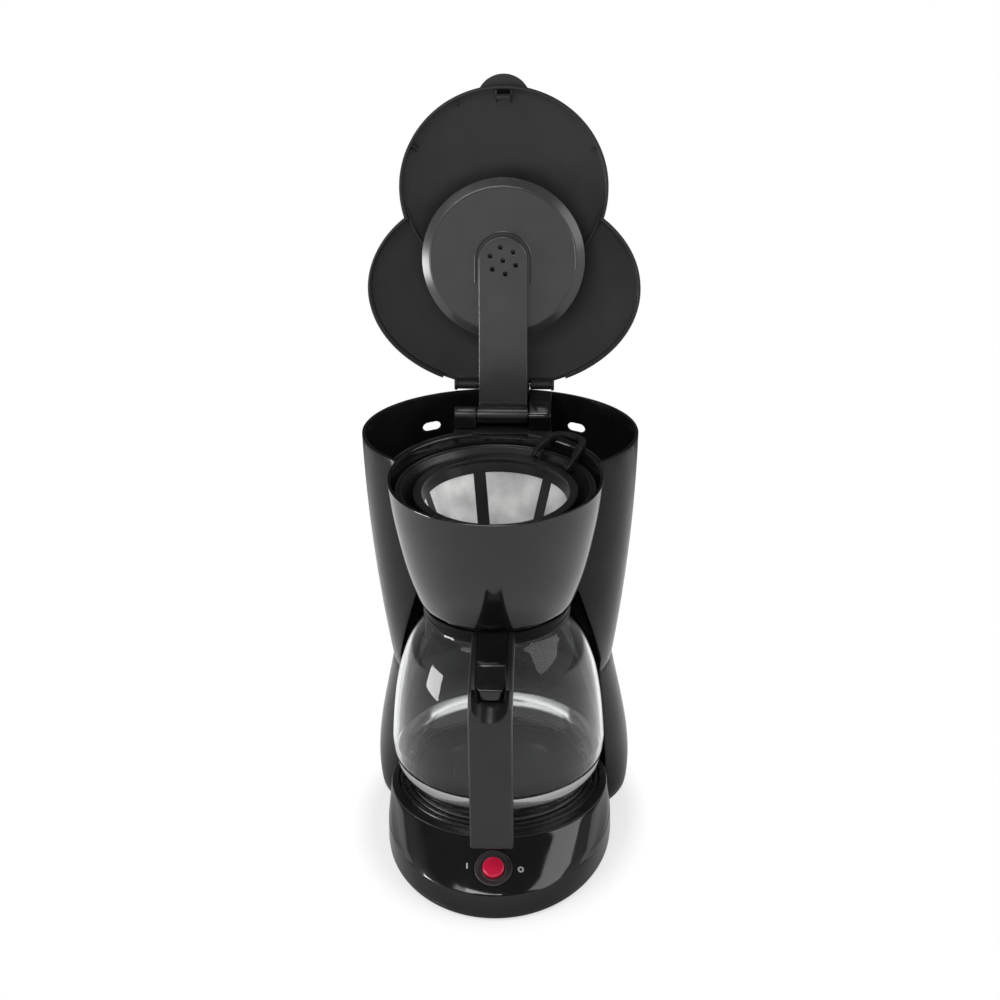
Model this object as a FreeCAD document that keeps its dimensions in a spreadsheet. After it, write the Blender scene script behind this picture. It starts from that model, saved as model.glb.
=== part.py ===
import FreeCAD, Part

# Drip coffee maker with its lid standing open: glass carafe on a hot plate under a conical brew
# hood, water tank behind the hood, one lid over both, and a swinging spray arm between them.
# Millimetres, +Z up, front towards -Y. The origin is on the axis that the hood, the basket, the
# carafe and the hot plate share, at the level of the table.

import math
import os
import re

import Sketcher

# name, value, what it is
SIZES = [
    # walls and gaps
    ("wall", 2.5, "wall of the moulded housings"),
    ("seam_gap", 0.3, "gap between two mouldings that meet"),
    ("pin_gap", 0.05, "radial clearance of a pin in its bore"),
    ("pin_radius", 1.5, "hinge pin of the lid"),
    # rear housing, seen from above an oval that changes with height
    ("rear_centre", 75.5, "centre of the rear oval behind the carafe axis"),
    ("rim_height", 294.9, "top edge of tank and hood"),
    ("rim_half_width", 100.4, "rear oval at the rim"),
    ("rim_half_depth", 75.9, "rear oval at the rim"),
    ("shoulder_height", 200.0, "level of the third tank section"),
    ("shoulder_draw", 6.1, "how much narrower each side is there than at the rim"),
    ("shoulder_half_depth", 75.0, "rear oval at that level"),
    ("waist_height", 112.0, "seam between tank and lower housing"),
    ("waist_half_width", 82.3, "rear oval at the waist"),
    ("waist_half_depth", 73.5, "rear oval at the waist"),
    ("flank_height", 67.0, "level of a lower section"),
    ("flank_half_width", 91.2, "rear oval at that level"),
    ("flank_half_depth", 75.2, "rear oval at that level"),
    ("belly_height", 24.0, "widest level of the lower housing"),
    ("belly_half_width", 95.8, "rear oval at its widest"),
    ("belly_half_depth", 76.3, "rear oval at its widest"),
    ("heel_half_width", 94.6, "rear oval at the bottom edge"),
    ("heel_half_depth", 75.8, "rear oval at the bottom edge"),
    # bay in which the carafe stands
    ("bay_radius", 85.0, "round wall behind the carafe"),
    ("bay_shoulder_height", 125.0, "where the bay starts to close in"),
    ("bay_top_radius", 58.0, "bay below the hood"),
    # brew hood
    ("hood_low_height", 202.5, "underside of the hood"),
    ("hood_low_radius", 56.0, "hood at its underside"),
    ("hood_step", 19.5, "between the sections of the hood"),
    ("hood_lower_radius", 62.5, "hood at that level"),
    ("hood_mid_radius", 67.4, "hood at that level"),
    ("hood_upper_radius", 72.8, "hood at that level"),
    ("hood_rim_radius", 76.0, "hood at the rim"),
    ("hood_outlet_radius", 14.3, "hole in the floor of the hood"),
    ("notch_half_width", 20.5, "notch in the hood rim that the spray arm crosses"),
    ("notch_depth", 4.6, "depth of that notch"),
    # base
    ("foot_height", 2.5, "rubber feet below the bottom plate"),
    ("foot_radius", 7.0, "rubber foot"),
    ("front_foot_x", 38.0, "front feet"),
    ("front_foot_y", -76.0, "front feet"),
    ("rear_foot_x", 46.0, "rear feet"),
    ("rear_foot_y", 122.0, "rear feet"),
    ("pad_radius", 18.0, "middle pad of the bottom plate, level with the feet"),
    ("plate_thickness", 2.5, "bottom plate"),
    ("plate_inset", 0.5, "bottom plate inside the skirts"),
    ("base_half_width", 83.0, "front oval of the base at its foot"),
    ("base_half_depth", 117.0, "front oval of the base at its foot"),
    ("skirt_height", 21.6, "upright skirt below the control slope"),
    ("skirt_half_width", 82.4, "front oval at the top of the skirt"),
    ("skirt_half_depth", 115.6, "front oval at the top of the skirt"),
    ("deck_radius", 80.0, "round top edge of the control slope"),
    ("deck_height", 45.0, "deck that carries the hot plate"),
    ("deck_hole_radius", 64.0, "opening of the deck under the hot plate"),
    ("ring_inner_radius", 66.4, "sealing ring round the hot plate"),
    ("ring_rise", 5.8, "height of the ring at its inner edge"),
    ("ring_inset", 0.4, "ring inside the deck's edge"),
    ("ring_edge", 1.0, "upright edge of the ring"),
    ("ring_land", 6.0, "outer land of the ring"),
    ("ring_groove", 0.6, "groove round the ring"),
    ("ring_land_rise", 3.8, "height of the outer land"),
    ("hot_plate_radius", 66.0, "hot plate"),
    ("hot_plate_height", 52.5, "top of the hot plate"),
    ("hot_plate_thickness", 2.4, "hot plate"),
    ("hot_plate_edge", 0.6, "chamfer of the hot plate"),
    ("hot_plate_play", 1.0, "hot plate's neck in the deck opening"),
    ("boss_radius", 5.0, "screw boss"),
    ("screw_radius", 1.8, "housing screw"),
    ("screw_head_radius", 3.4, "housing screw"),
    ("screw_head_height", 1.2, "housing screw"),
    ("screw_length", 14.0, "housing screw"),
    ("thread_reserve", 4.0, "thread past the end of a screw"),
    ("front_screw_x", 52.0, "front screws"),
    ("front_screw_y", -62.0, "front screws"),
    ("rear_screw_x", 62.0, "rear screws"),
    ("rear_screw_y", 122.0, "rear screws"),
    # heater and water path
    ("element_radius", 52.5, "bend of the heating element"),
    ("element_thickness", 3.6, "radius of the heating element tube"),
    ("water_tube_radius", 42.0, "bend of the heater's water tube"),
    ("nipple_radius", 4.4, "radius of the water tube and of every nipple"),
    ("nipple_bore", 3.2, "bore of the water tube"),
    ("hose_wall", 1.7, "wall of the silicone hoses"),
    ("hose_overlap", 7.0, "length of hose pushed over a nipple"),
    ("hose_bend", 9.0, "bend of the hoses"),
    ("leg_end", 24.0, "end of the water tube's straight legs"),
    ("element_end", 16.0, "end of the heating element and of the heat spreader"),
    ("spreader_margin", 1.6, "heat spreader past the tubes"),
    ("strap_reach", 58.5, "clamp under the tubes"),
    ("strap_y", 9.0, "clamp under the tubes"),
    ("strap_half_width", 5.0, "clamp under the tubes"),
    ("strap_thickness", 1.7, "clamp under the tubes"),
    ("strap_post", 4.0, "post that holds the clamp"),
    ("thermostat_radius", 8.0, "thermostat"),
    ("thermostat_height", 7.0, "thermostat"),
    ("thermostat_y", -12.0, "thermostat"),
    ("thermostat_tab", 3.0, "terminals of the thermostat"),
    ("fuse_radius", 2.2, "thermal fuse"),
    ("fuse_length", 14.0, "thermal fuse"),
    ("fuse_x", 11.0, "thermal fuse"),
    ("fuse_y", -26.0, "thermal fuse"),
    ("hose_drop_y", 35.0, "where the hoses turn down"),
    ("hose_run_height", 27.0, "level at which the hoses run back"),
    ("inlet_hose_y", 112.0, "where the inlet hose turns up to the tank"),
    ("valve_low", 60.0, "underside of the check valve"),
    ("valve_length", 20.0, "body of the check valve"),
    ("valve_body_radius", 8.0, "body of the check valve"),
    ("valve_wall", 1.6, "wall of the check valve"),
    ("valve_end", 3.0, "ends of the check valve"),
    ("ball_radius", 4.0, "ball of the check valve"),
    ("clamp_width", 4.0, "hose clamp"),
    ("clamp_thickness", 0.8, "hose clamp"),
    ("clamp_inset", 1.5, "hose clamp from the end of the hose or nipple"),
    ("passage_half_width", 56.0, "opening between base and lower housing"),
    ("passage_height", 38.0, "opening between base and lower housing"),
    # column that brings hot water up through the tank
    ("column_half_width", 36.0, "column"),
    ("column_front", 105.0, "front face of the column"),
    ("column_top", 279.0, "top of the column"),
    ("riser_x", -25.5, "riser hose in the column"),
    # spray arm, about its pivot
    ("arm_pivot_y", 118.0, "pivot of the spray arm"),
    ("arm_pivot_z", 287.5, "pivot of the spray arm"),
    ("arm_pin_radius", 3.4, "pivot tube of the spray arm"),
    ("arm_barrel_radius", 6.2, "barrel of the spray arm"),
    ("arm_open_angle", 102.0, "turn of the arm from closed to open"),
    ("arm_half_width", 18.0, "spray arm"),
    ("arm_length", 115.0, "from the pivot to the shower head"),
    ("arm_low", 4.5, "underside of the closed arm above its pivot"),
    ("arm_depth", 5.2, "depth of the arm"),
    ("arm_wall", 2.0, "wall of the arm"),
    ("ear_gap", 0.4, "side gap between barrel and ears"),
    ("ear_half_depth", 8.0, "ears that carry the arm"),
    ("ear_rise", 6.5, "ears above the pivot"),
    ("elbow_reach", 12.0, "pivot tube past the ear"),
    ("elbow_bore", 2.2, "bore of the elbow"),
    ("elbow_nipple_reach", 12.0, "nipple below the top of the column"),
    ("tank_nipple_reach", 12.0, "nipple below the tank"),
    ("shower_ring_start", 20.0, "first hole of the ring, from the right"),
    ("arm_side_gap", 1.0, "barrel past the side of the arm"),
    ("shower_ring_radius", 10.0, "ring of shower holes"),
    ("shower_hole_radius", 1.6, "shower hole"),
    ("disc_radius", 59.5, "splash disc at its back"),
    ("disc_face_radius", 54.6, "splash disc at its face"),
    ("disc_depth", 4.2, "splash disc"),
    ("disc_wall", 1.8, "splash disc"),
    ("disc_screw_radius", 2.4, "heads of the disc's screws"),
    ("disc_screw_x", 24.0, "disc screws"),
    ("disc_screw_y", 30.0, "disc screws"),
    # lid, about its pivot
    ("lid_pivot_y", 149.0, "pivot of the lid"),
    ("lid_pivot_z", 299.0, "pivot of the lid"),
    ("lid_open_angle", 100.0, "turn of the lid from closed to open"),
    ("lid_overhang", 1.0, "lid past the rim"),
    ("lid_height", 10.4, "lid above the rim"),
    ("lid_gap", 0.5, "gap between the rim and the closed lid"),
    ("lid_depth_trim", 0.6, "rear lobe drawn in at the back"),
    ("lid_wall", 2.2, "lid"),
    ("lid_bevel", 3.0, "bevel round the top of the lid"),
    ("lid_bevel_height", 2.2, "bevel round the top of the lid"),
    ("knuckle_radius", 3.5, "hinge knuckle of the lid"),
    ("knuckle_start", 19.4, "inner end of the lid's knuckles"),
    ("knuckle_end", 36.0, "outer end of the lid's knuckles"),
    ("bracket_depth", 11.0, "bracket in front of the lid's pivot"),
    ("bracket_front", 0.8, "bracket clear of the pin"),
    ("skirt_relief", 46.0, "half width over which the lid has no skirt at the hinge"),
    ("relief_depth", 9.0, "skirt left out in front of the pivot"),
    ("tab_half_width", 18.6, "finger tab of the lid"),
    ("tab_reach", 9.7, "finger tab past the lid's edge"),
    ("tab_corner", 7.0, "rounded corners of the finger tab"),
    ("tab_thickness", 3.0, "finger tab"),
    ("latch_half_width", 5.0, "latch hook under the tab"),
    ("latch_depth", 11.0, "latch hook below the lid"),
    ("latch_inset", 6.0, "latch hook behind the lid's edge"),
    ("latch_thickness", 3.0, "latch hook"),
    # overflow holes of the tank
    ("overflow_x", 54.5, "overflow hole"),
    ("overflow_drop", 25.4, "overflow hole below the rim"),
    ("overflow_radius", 3.7, "rounded ends of the overflow hole"),
    ("overflow_half_width", 2.8, "overflow hole between its rounded ends"),
    # brew basket and its drip valve
    ("basket_rim_height", 286.5, "rim of the brew basket"),
    ("basket_rim_radius", 71.0, "rim of the brew basket"),
    ("basket_rim_depth", 2.5, "rim of the brew basket"),
    ("basket_top_radius", 68.4, "cone of the basket at its rim"),
    ("basket_low_radius", 40.0, "cone of the basket at its floor"),
    ("basket_rise", 9.5, "floor of the basket above the underside of the hood"),
    ("basket_wall", 2.0, "wall of the basket"),
    ("spout_radius", 13.0, "spout of the basket"),
    ("spout_drop", 0.6, "spout below the floor of the hood"),
    ("spout_bore", 6.5, "wide bore of the spout"),
    ("seat_drop", 2.5, "seat of the drip valve below the basket's floor"),
    ("seat_depth", 2.5, "floor under the seat"),
    ("stem_radius", 3.0, "stem of the drip valve"),
    ("stem_clearance", 0.4, "water gap round the stem"),
    ("stem_rest", 0.5, "drip valve above the carafe lid"),
    ("stem_foot_radius", 5.6, "foot of the drip valve"),
    ("stem_foot_height", 2.0, "foot of the drip valve"),
    ("stem_head", 1.8, "head that holds the seal"),
    ("valve_spring_wire", 0.45, "radius of the valve spring's wire"),
    ("valve_spring_radius", 5.2, "coil of the valve spring"),
    ("seal_radius", 9.0, "seal of the drip valve"),
    ("seal_height", 2.0, "seal of the drip valve"),
    # permanent filter
    ("filter_rim_radius", 58.0, "rim of the filter"),
    ("filter_rim_height", 284.0, "rim of the filter"),
    ("filter_rim_depth", 3.0, "rim of the filter"),
    ("filter_top_radius", 53.0, "mesh cone at the rim"),
    ("filter_low_radius", 33.0, "mesh cone at its floor"),
    ("filter_rise", 7.5, "floor of the filter inside above the basket's"),
    ("filter_rib", 2.0, "ribs of the filter"),
    ("filter_rib_width", 9.0, "ribs of the filter"),
    ("filter_rib_count", 6, "ribs of the filter"),
    ("filter_rib_start", 46.0, "first rib, from the right towards the rear"),
    ("filter_rim_lip", 0.8, "rim inside the mesh"),
    ("filter_floor_depth", 2.0, "floor of the filter"),
    ("filter_foot_width", 3.0, "foot ring of the filter"),
    ("filter_foot_gap", 1.1, "foot of the filter above the floor of the basket"),
    ("mesh_thickness", 0.6, "filter mesh"),
    ("mesh_gap", 0.1, "gap between the mesh and its frame"),
    ("handle_azimuth", 42.0, "filter handle, from the rear towards the right"),
    ("handle_pin_radius", 1.4, "pins of the filter handle"),
    ("handle_pin_reach", 57.5, "pins of the filter handle from the axis"),
    ("handle_pin_height", 286.6, "pins of the filter handle"),
    ("handle_barrel", 2.6, "barrel of the filter handle round its pins"),
    ("handle_half_width", 18.0, "filter handle"),
    ("handle_leg_inside", 15.3, "inner faces of the handle's legs"),
    ("lug_gap", 0.4, "gap between lug and leg"),
    ("lug_half_width", 1.5, "lugs of the filter"),
    ("lug_reach", 2.0, "lugs past the pins"),
    ("handle_eye_start", 65.5, "loop of the handle, inner end"),
    ("handle_eye_half_width", 11.5, "loop of the handle"),
    ("handle_bar", 4.5, "outer bar of the handle"),
    ("handle_reach", 84.0, "outer edge of the filter handle"),
    ("handle_thickness", 2.4, "filter handle"),
    ("handle_clearance", 1.4, "filter handle above the hood rim"),
    # carafe
    ("glass_low", 52.8, "underside of the glass"),
    ("hood_clearance", 3.5, "carafe lid below the hood"),
    ("jug_lid_rise", 3.0, "carafe lid above the rim of the glass"),
    ("glass_foot_radius", 62.0, "glass foot"),
    ("glass_heel_height", 60.5, "second section of the glass"),
    ("glass_heel_radius", 71.0, "second section of the glass"),
    ("glass_bulge_height", 86.0, "widest level of the glass"),
    ("glass_bulge_radius", 77.4, "widest level of the glass"),
    ("glass_upper_radius", 71.0, "fourth section of the glass"),
    ("glass_throat_radius", 60.5, "fifth section of the glass"),
    ("glass_neck_radius", 50.0, "neck of the glass"),
    ("glass_neck_length", 8.0, "neck of the glass"),
    ("glass_throat_drop", 18.0, "fifth section of the glass below the neck"),
    ("glass_upper_drop", 45.0, "fourth section of the glass below the neck"),
    ("glass_wall", 2.2, "glass"),
    ("glass_foot_inset", 1.0, "room in the glass at its foot"),
    ("collar_radius", 52.8, "collar round the neck"),
    ("collar_start", 0.6, "lower edge of the collar above the neck's"),
    ("collar_height", 9.7, "collar round the neck"),
    ("collar_gap", 0.2, "gap between glass and collar"),
    ("collar_edge", 0.8, "rounded edges of the collar"),
    ("jug_lid_depth", 3.4, "carafe lid"),
    ("jug_lid_edge", 0.6, "edge of the carafe lid"),
    ("jug_lid_dish", 1.6, "dish round the hole"),
    ("jug_plug_gap", 0.6, "gap between plug and neck"),
    ("jug_pin_radius", 1.0, "pin of the thumb lever"),
    ("jug_pin_reach", 47.0, "pin of the thumb lever"),
    ("jug_lug_x", 9.0, "lugs of the carafe lid"),
    ("jug_lug_half_width", 1.2, "lugs of the carafe lid"),
    ("jug_lug_half_depth", 2.4, "lugs of the carafe lid"),
    ("jug_lid_hole", 8.0, "hole that the coffee drips through"),
    ("grip_reach", 119.0, "front of the carafe handle"),
    ("grip_depth", 15.5, "grip from front to back"),
    ("grip_half_width", 15.2, "grip"),
    ("grip_low", 62.0, "lower end of the grip"),
    ("grip_drop", 30.6, "top of the straight grip below the root"),
    ("grip_front_bevel", 11.0, "slope over the grip, from front to back"),
    ("grip_front_rise", 15.0, "slope over the grip, upwards"),
    ("grip_corner", 1.5, "broken corner in front of that slope"),
    ("grip_corner_rise", 5.0, "broken corner in front of that slope"),
    ("grip_bend_low", 14.0, "inner bend of the handle"),
    ("grip_bend_depth", 7.0, "inner bend of the handle"),
    ("handle_root_rise", 1.6, "root of the handle above the carafe lid"),
    ("handle_root_depth", 11.8, "root of the handle"),
    ("handle_neck", 9.0, "level end of the handle"),
    ("grip_edge", 2.5, "chamfered end of the grip"),
    ("handle_screw_radius", 1.5, "screw of the handle"),
    ("handle_screw_length", 10.0, "screw of the handle"),
    ("lever_half_width", 10.3, "thumb lever"),
    ("lever_rise", 2.4, "thumb lever above the carafe lid"),
    ("lever_drop", 19.4, "end of the thumb lever below its top"),
    ("lever_thickness", 2.2, "thumb lever"),
    ("lever_start", 0.6, "thumb lever clear of the collar"),
    ("lever_bend", 6.0, "level end of the lever"),
    ("lever_nose", 4.0, "nose of the lever"),
    ("lever_tongue_half_width", 7.5, "tongue at the pin"),
    ("lever_end_y", -105.0, "end of the thumb lever"),
    # power switch, square to the control slope
    ("switch_y", -98.5, "middle of the switch on the control slope"),
    ("bezel_radius", 13.6, "dished ring round the button"),
    ("bezel_depth", 4.0, "dished ring round the button"),
    ("bezel_lip", 1.6, "lip of the dished ring past its hole"),
    ("bezel_lip_depth", 0.7, "lip of the dished ring"),
    ("bezel_dish_depth", 1.4, "dish of the ring"),
    ("button_radius", 7.75, "push button"),
    ("button_rise", 3.4, "button above the slope"),
    ("button_flange", 9.2, "flange that keeps the button in"),
    ("button_flange_depth", 2.0, "flange that keeps the button in"),
    ("button_spring_wire", 0.4, "radius of the button spring's wire"),
    ("button_spring_radius", 5.2, "coil of the button spring"),
    ("button_gap", 0.35, "gap round the button"),
    ("switch_top", 11.5, "top of the switch body below the slope"),
    ("switch_height", 11.0, "switch body"),
    ("switch_half_width", 9.5, "switch body"),
    ("switch_tab", 4.0, "terminals of the switch"),
    ("mark_distance", 19.5, "I and O marks from the button"),
    ("mark_height", 4.4, "I and O marks"),
    ("mark_stroke", 1.1, "I and O marks"),
    ("mark_relief", 0.3, "I and O marks"),
    # inlet of the power cord
    ("gland_height", 24.0, "cord inlet"),
    ("gland_radius", 7.0, "flange of the cord inlet"),
    ("gland_neck", 5.0, "neck of the cord inlet"),
    ("gland_depth", 8.5, "neck inside the wall"),
    ("gland_flange_depth", 1.6, "flange of the cord inlet"),
    ("gland_bore", 3.4, "bore of the cord inlet"),
    ("lead_radius", 1.2, "sleeved lead"),
    ("lead_level", 9.2, "leads along the bottom plate"),
    ("lead_x", 28.0, "leads along the bottom plate"),
    ("lead_bend", 6.0, "bends of the leads"),
    ("lead_start", 15.0, "leads behind the middle of the switch"),
    ("lead_fan_start", 32.5, "where the leads part, behind the switch"),
    ("lead_fan_end", 58.5, "where the leads run level, behind the switch"),
    ("lead_start_x", 4.0, "leads at the switch"),
    ("lead_turn_y", 90.0, "where the leads close in to the gland"),
    ("lead_end_x", 1.7, "leads at the gland"),
    ("lead_end_run", 16.0, "straight end of the leads"),
]

# name, formula, what it is: sizes that follow from the ones above
DERIVED = [
    ("plate_top", "foot_height + plate_thickness", "where the housings start"),
    ("hood_rim_height", "rim_height", "hood level with the tank"),
    ("hood_lower_height", "hood_low_height + hood_step", "level of the second section"),
    ("hood_mid_height", "hood_low_height + hood_step * 2", "level of the middle section"),
    ("hood_upper_height", "rim_height - (rim_height - hood_mid_height) * 0.466",
     "level of the fourth section"),
    ("basket_floor_height", "hood_low_height + basket_rise", "floor of the basket outside"),
    ("filter_floor_height", "basket_floor_height + filter_rise", "floor of the filter inside"),
    ("jug_lid_top", "hood_low_height - hood_clearance", "top of the carafe lid"),
    ("glass_rim_height", "jug_lid_top - jug_lid_rise", "rim of the glass"),
    ("glass_neck_height", "glass_rim_height - glass_neck_length", "start of the neck"),
    ("glass_throat_height", "glass_neck_height - glass_throat_drop",
     "fifth section of the glass"),
    ("glass_upper_height", "glass_neck_height - glass_upper_drop",
     "fourth section of the glass"),
    ("collar_low", "glass_neck_height + collar_start", "lower edge of the collar"),
    ("collar_top", "collar_low + collar_height", "upper edge of the collar"),
    ("handle_root_height", "jug_lid_top + handle_root_rise", "top of the handle's root"),
    ("handle_root_low", "handle_root_height - handle_root_depth",
     "underside of the handle's root"),
    ("grip_shoulder", "handle_root_height - grip_drop", "top of the straight grip"),
    ("lever_top", "jug_lid_top + lever_rise", "thumb lever at the collar"),
    ("lever_end_z", "lever_top - lever_drop", "end of the thumb lever"),
    ("belly_rear", "rear_centre + belly_half_depth", "rear of the lower housing"),
    ("control_slope", "atan((deck_height - skirt_height) / (skirt_half_depth - deck_radius))",
     "tilt of the control slope"),
    ("switch_z", "deck_height - (-switch_y - deck_radius) * tan(control_slope)",
     "middle of the switch on the slope"),
    ("thread_end", "screw_length + thread_reserve", "end of the screws' threads"),
    ("hot_plate_low", "hot_plate_height - hot_plate_thickness", "underside of the hot plate"),
    ("hose_bore", "nipple_radius + pin_gap", "bore of the hoses"),
    ("hose_radius", "hose_bore + hose_wall", "outside of the hoses"),
    ("water_tube_z", "hot_plate_low - seam_gap - clamp_thickness - hose_radius",
     "axis of the water tube"),
    ("spreader_low", "water_tube_z + nipple_radius", "underside of the heat spreader"),
    ("element_z", "spreader_low - element_thickness", "axis of the heating element"),
    ("tank_floor", "waist_height + wall", "floor of the tank"),
    ("nipple_low", "waist_height - tank_nipple_reach", "lower end of the tank's nipple"),
    ("elbow_low", "column_top - elbow_nipple_reach", "lower end of the elbow's nipple"),
    ("ear_start", "arm_half_width + arm_side_gap + ear_gap", "inner face of the ears"),
    ("arm_face", "arm_low + arm_depth", "back of the closed arm above its pivot"),
    ("disc_back", "arm_face + seam_gap + disc_depth", "top of the closed disc above its pivot"),
    ("lid_skirt_z", "rim_height + lid_gap - lid_pivot_z", "lower edge of the closed lid"),
    ("lid_top_z", "rim_height + lid_height - lid_pivot_z", "top of the closed lid"),
    ("lid_circle_radius", "hood_rim_radius + lid_overhang", "front lobe of the lid"),
    ("shoulder_half_width", "rim_half_width - shoulder_draw", "rear oval at the third tank section"),
    ("overflow_height", "rim_height - overflow_drop", "overflow hole"),
    ("lid_half_width", "rim_half_width + lid_overhang", "rear lobe of the lid"),
    ("lid_half_depth", "rim_half_depth + lid_overhang - lid_depth_trim", "rear lobe of the lid"),
    ("spout_low", "hood_low_height - spout_drop", "lower end of the spout"),
    ("stem_low", "jug_lid_top + stem_rest", "lower end of the drip valve"),
    ("seat_height", "basket_floor_height - seat_drop", "seat of the drip valve"),
    ("filter_foot_low", "basket_floor_height + filter_foot_gap", "foot of the filter"),
    ("collar_bore", "glass_neck_radius + collar_gap", "bore of the collar"),
    ("jug_lid_low", "glass_rim_height + seam_gap", "underside of the carafe lid's edge"),
    ("over_rim", "rim_height + handle_clearance", "underside of the filter handle over the rim"),
]

FRONT, BACK, FAR = "-200", "200", "200"
SCREWS = [("front_screw_x", "front_screw_y"), ("-front_screw_x", "front_screw_y"),
          ("rear_screw_x", "rear_screw_y"), ("-rear_screw_x", "rear_screw_y")]

doc = FreeCAD.newDocument("drip_coffee_maker")
sheet = doc.addObject("Spreadsheet::Sheet", "Sizes")
NAMES = {row[0] for row in SIZES + DERIVED}
NODES = []


def fill_sheet():
    rows = [(name, str(value), note) for name, value, note in SIZES]
    rows += [(name, "=" + formula, note) for name, formula, note in DERIVED]
    for row, (name, text, note) in enumerate(rows, start=1):
        sheet.set(f"A{row}", name)
        sheet.set(f"B{row}", text)
        sheet.set(f"C{row}", note)
        sheet.setAlias(f"B{row}", name)
    doc.recompute()


def size(name):
    """The number in a cell, for shapes that Part's own functions make."""
    value = sheet.get(name)
    return float(getattr(value, "Value", value))


def linked(formula):
    """A formula of size names as an expression on the sheet's cells."""
    return re.sub(r"[a-z][a-z_]*", lambda word: "Sizes." + word.group()
                  if word.group() in NAMES else word.group(), formula)


# ---------------------------------------------------------------- building blocks

TURNS = {"x": FreeCAD.Rotation(FreeCAD.Vector(0, 1, 0), 90),
         "y": FreeCAD.Rotation(FreeCAD.Vector(1, 0, 0), -90),
         "z": FreeCAD.Rotation()}
X_AXIS, Z_AXIS = FreeCAD.Vector(1, 0, 0), FreeCAD.Vector(0, 0, 1)


def place(thing, position, axis=None, angle=None):
    """Bind a thing's position, and its turn about an axis, to the sheet."""
    if axis is not None:
        thing.Placement = FreeCAD.Placement(FreeCAD.Vector(), FreeCAD.Rotation(axis, 10))
        thing.setExpression("Placement.Rotation.Angle", linked(angle))
    for letter, formula in zip("xyz", position):
        thing.setExpression("Placement.Base." + letter, linked(formula))
    return thing


def box(name, low, high):
    thing = doc.addObject("Part::Box", name)
    for side, start, end in zip(("Length", "Width", "Height"), low, high):
        thing.setExpression(side, linked(f"({end}) - ({start})"))
    return place(thing, low)


def cylinder(name, radius, length, start, axis="z"):
    thing = doc.addObject("Part::Cylinder", name)
    thing.setExpression("Radius", linked(radius))
    thing.setExpression("Height", linked(length))
    thing.Placement = FreeCAD.Placement(FreeCAD.Vector(), TURNS[axis])
    return place(thing, start)


def cone(name, low_radius, high_radius, low, high):
    thing = doc.addObject("Part::Cone", name)
    thing.setExpression("Radius1", linked(low_radius))
    thing.setExpression("Radius2", linked(high_radius))
    thing.setExpression("Height", linked(f"({high}) - ({low})"))
    return place(thing, ("0", "0", low))


def loft(name, sections, long_axis="x", ruled=False):
    """A solid through ovals: (height, long radius, short radius, centre y) from low to high."""
    ovals = []
    for index, (height, long_radius, short_radius, centre) in enumerate(sections):
        oval = doc.addObject("Part::Ellipse", f"{name}_section_{index}")
        oval.setExpression("MajorRadius", linked(long_radius))
        oval.setExpression("MinorRadius", linked(short_radius))
        if long_axis == "y":
            oval.Placement = FreeCAD.Placement(FreeCAD.Vector(), FreeCAD.Rotation(Z_AXIS, 90))
        ovals.append(place(oval, ("0", centre, height)))
    thing = doc.addObject("Part::Loft", name)
    thing.Sections = ovals
    thing.Solid = True
    thing.Ruled = ruled
    return thing


def oval_block(name, half_width, half_depth, centre, low, high):
    """An upright block with an oval outline that is widest across."""
    oval = doc.addObject("Part::Ellipse", name + "_outline")
    oval.setExpression("MajorRadius", linked(half_width))
    oval.setExpression("MinorRadius", linked(half_depth))
    place(oval, ("0", centre, low))
    thing = doc.addObject("Part::Extrusion", name)
    thing.Base = oval
    thing.DirMode = "Custom"
    thing.Dir = Z_AXIS
    thing.setExpression("LengthFwd", linked(f"({high}) - ({low})"))
    thing.Solid = True
    return thing


def joined(name, *parts):
    thing = doc.addObject("Part::MultiFuse", name)
    thing.Shapes = list(parts)
    return thing


def cut(name, base, *tools):
    tool = tools[0] if len(tools) == 1 else joined(name + "_tools", *tools)
    thing = doc.addObject("Part::Cut", name)
    thing.Base, thing.Tool = base, tool
    return thing


def shared(name, first, second):
    thing = doc.addObject("Part::MultiCommon", name)
    thing.Shapes = [first, second]
    return thing


def group(name, *parts):
    thing = doc.addObject("Part::Compound", name)
    thing.Links = list(parts)
    return thing


def outline(sketch, corners):
    """A closed polygon in a sketch, each corner bound to the sheet."""
    count = len(corners)
    spread = [FreeCAD.Vector(50 + 10 * i, 7 * i * i, 0) for i in range(count)]
    for i in range(count):
        sketch.addGeometry(Part.LineSegment(spread[i], spread[(i + 1) % count]), False)
    for i in range(count):
        sketch.addConstraint(Sketcher.Constraint("Coincident", i, 2, (i + 1) % count, 1))
    for i, corner in enumerate(corners):
        for kind, start, formula in zip(("DistanceX", "DistanceY"), spread[i], corner):
            index = sketch.addConstraint(Sketcher.Constraint(kind, -1, 1, i, 1, start))
            sketch.setExpression(f"Constraints[{index}]", linked(formula))


def body_with_sketch(name, role, corners):
    body = doc.addObject("PartDesign::Body", name)
    sketch = body.newObject("Sketcher::SketchObject", name + "_profile")
    plane = [feature for feature in body.Origin.OriginFeatures if feature.Role == role][0]
    sketch.AttachmentSupport = [(plane, "")]
    sketch.MapMode = "FlatFace"
    outline(sketch, corners)
    return body, sketch


def turned(name, corners):
    """A body turned about the upright axis from (radius, height) corners."""
    body, sketch = body_with_sketch(name, "XZ_Plane", corners)
    turn = body.newObject("PartDesign::Revolution", name + "_turn")
    turn.Profile = sketch
    turn.ReferenceAxis = (sketch, ["V_Axis"])
    turn.Angle = 360
    body.Tip = turn
    return body


def prism(name, corners, width):
    """A body of (y, z) corners, as wide in x, half to each side."""
    body, sketch = body_with_sketch(name, "YZ_Plane", corners)
    pad = body.newObject("PartDesign::Pad", name + "_pad")
    pad.Profile = sketch
    pad.setExpression("Length", linked(width))
    pad.Midplane = True
    body.Tip = pad
    return body


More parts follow.
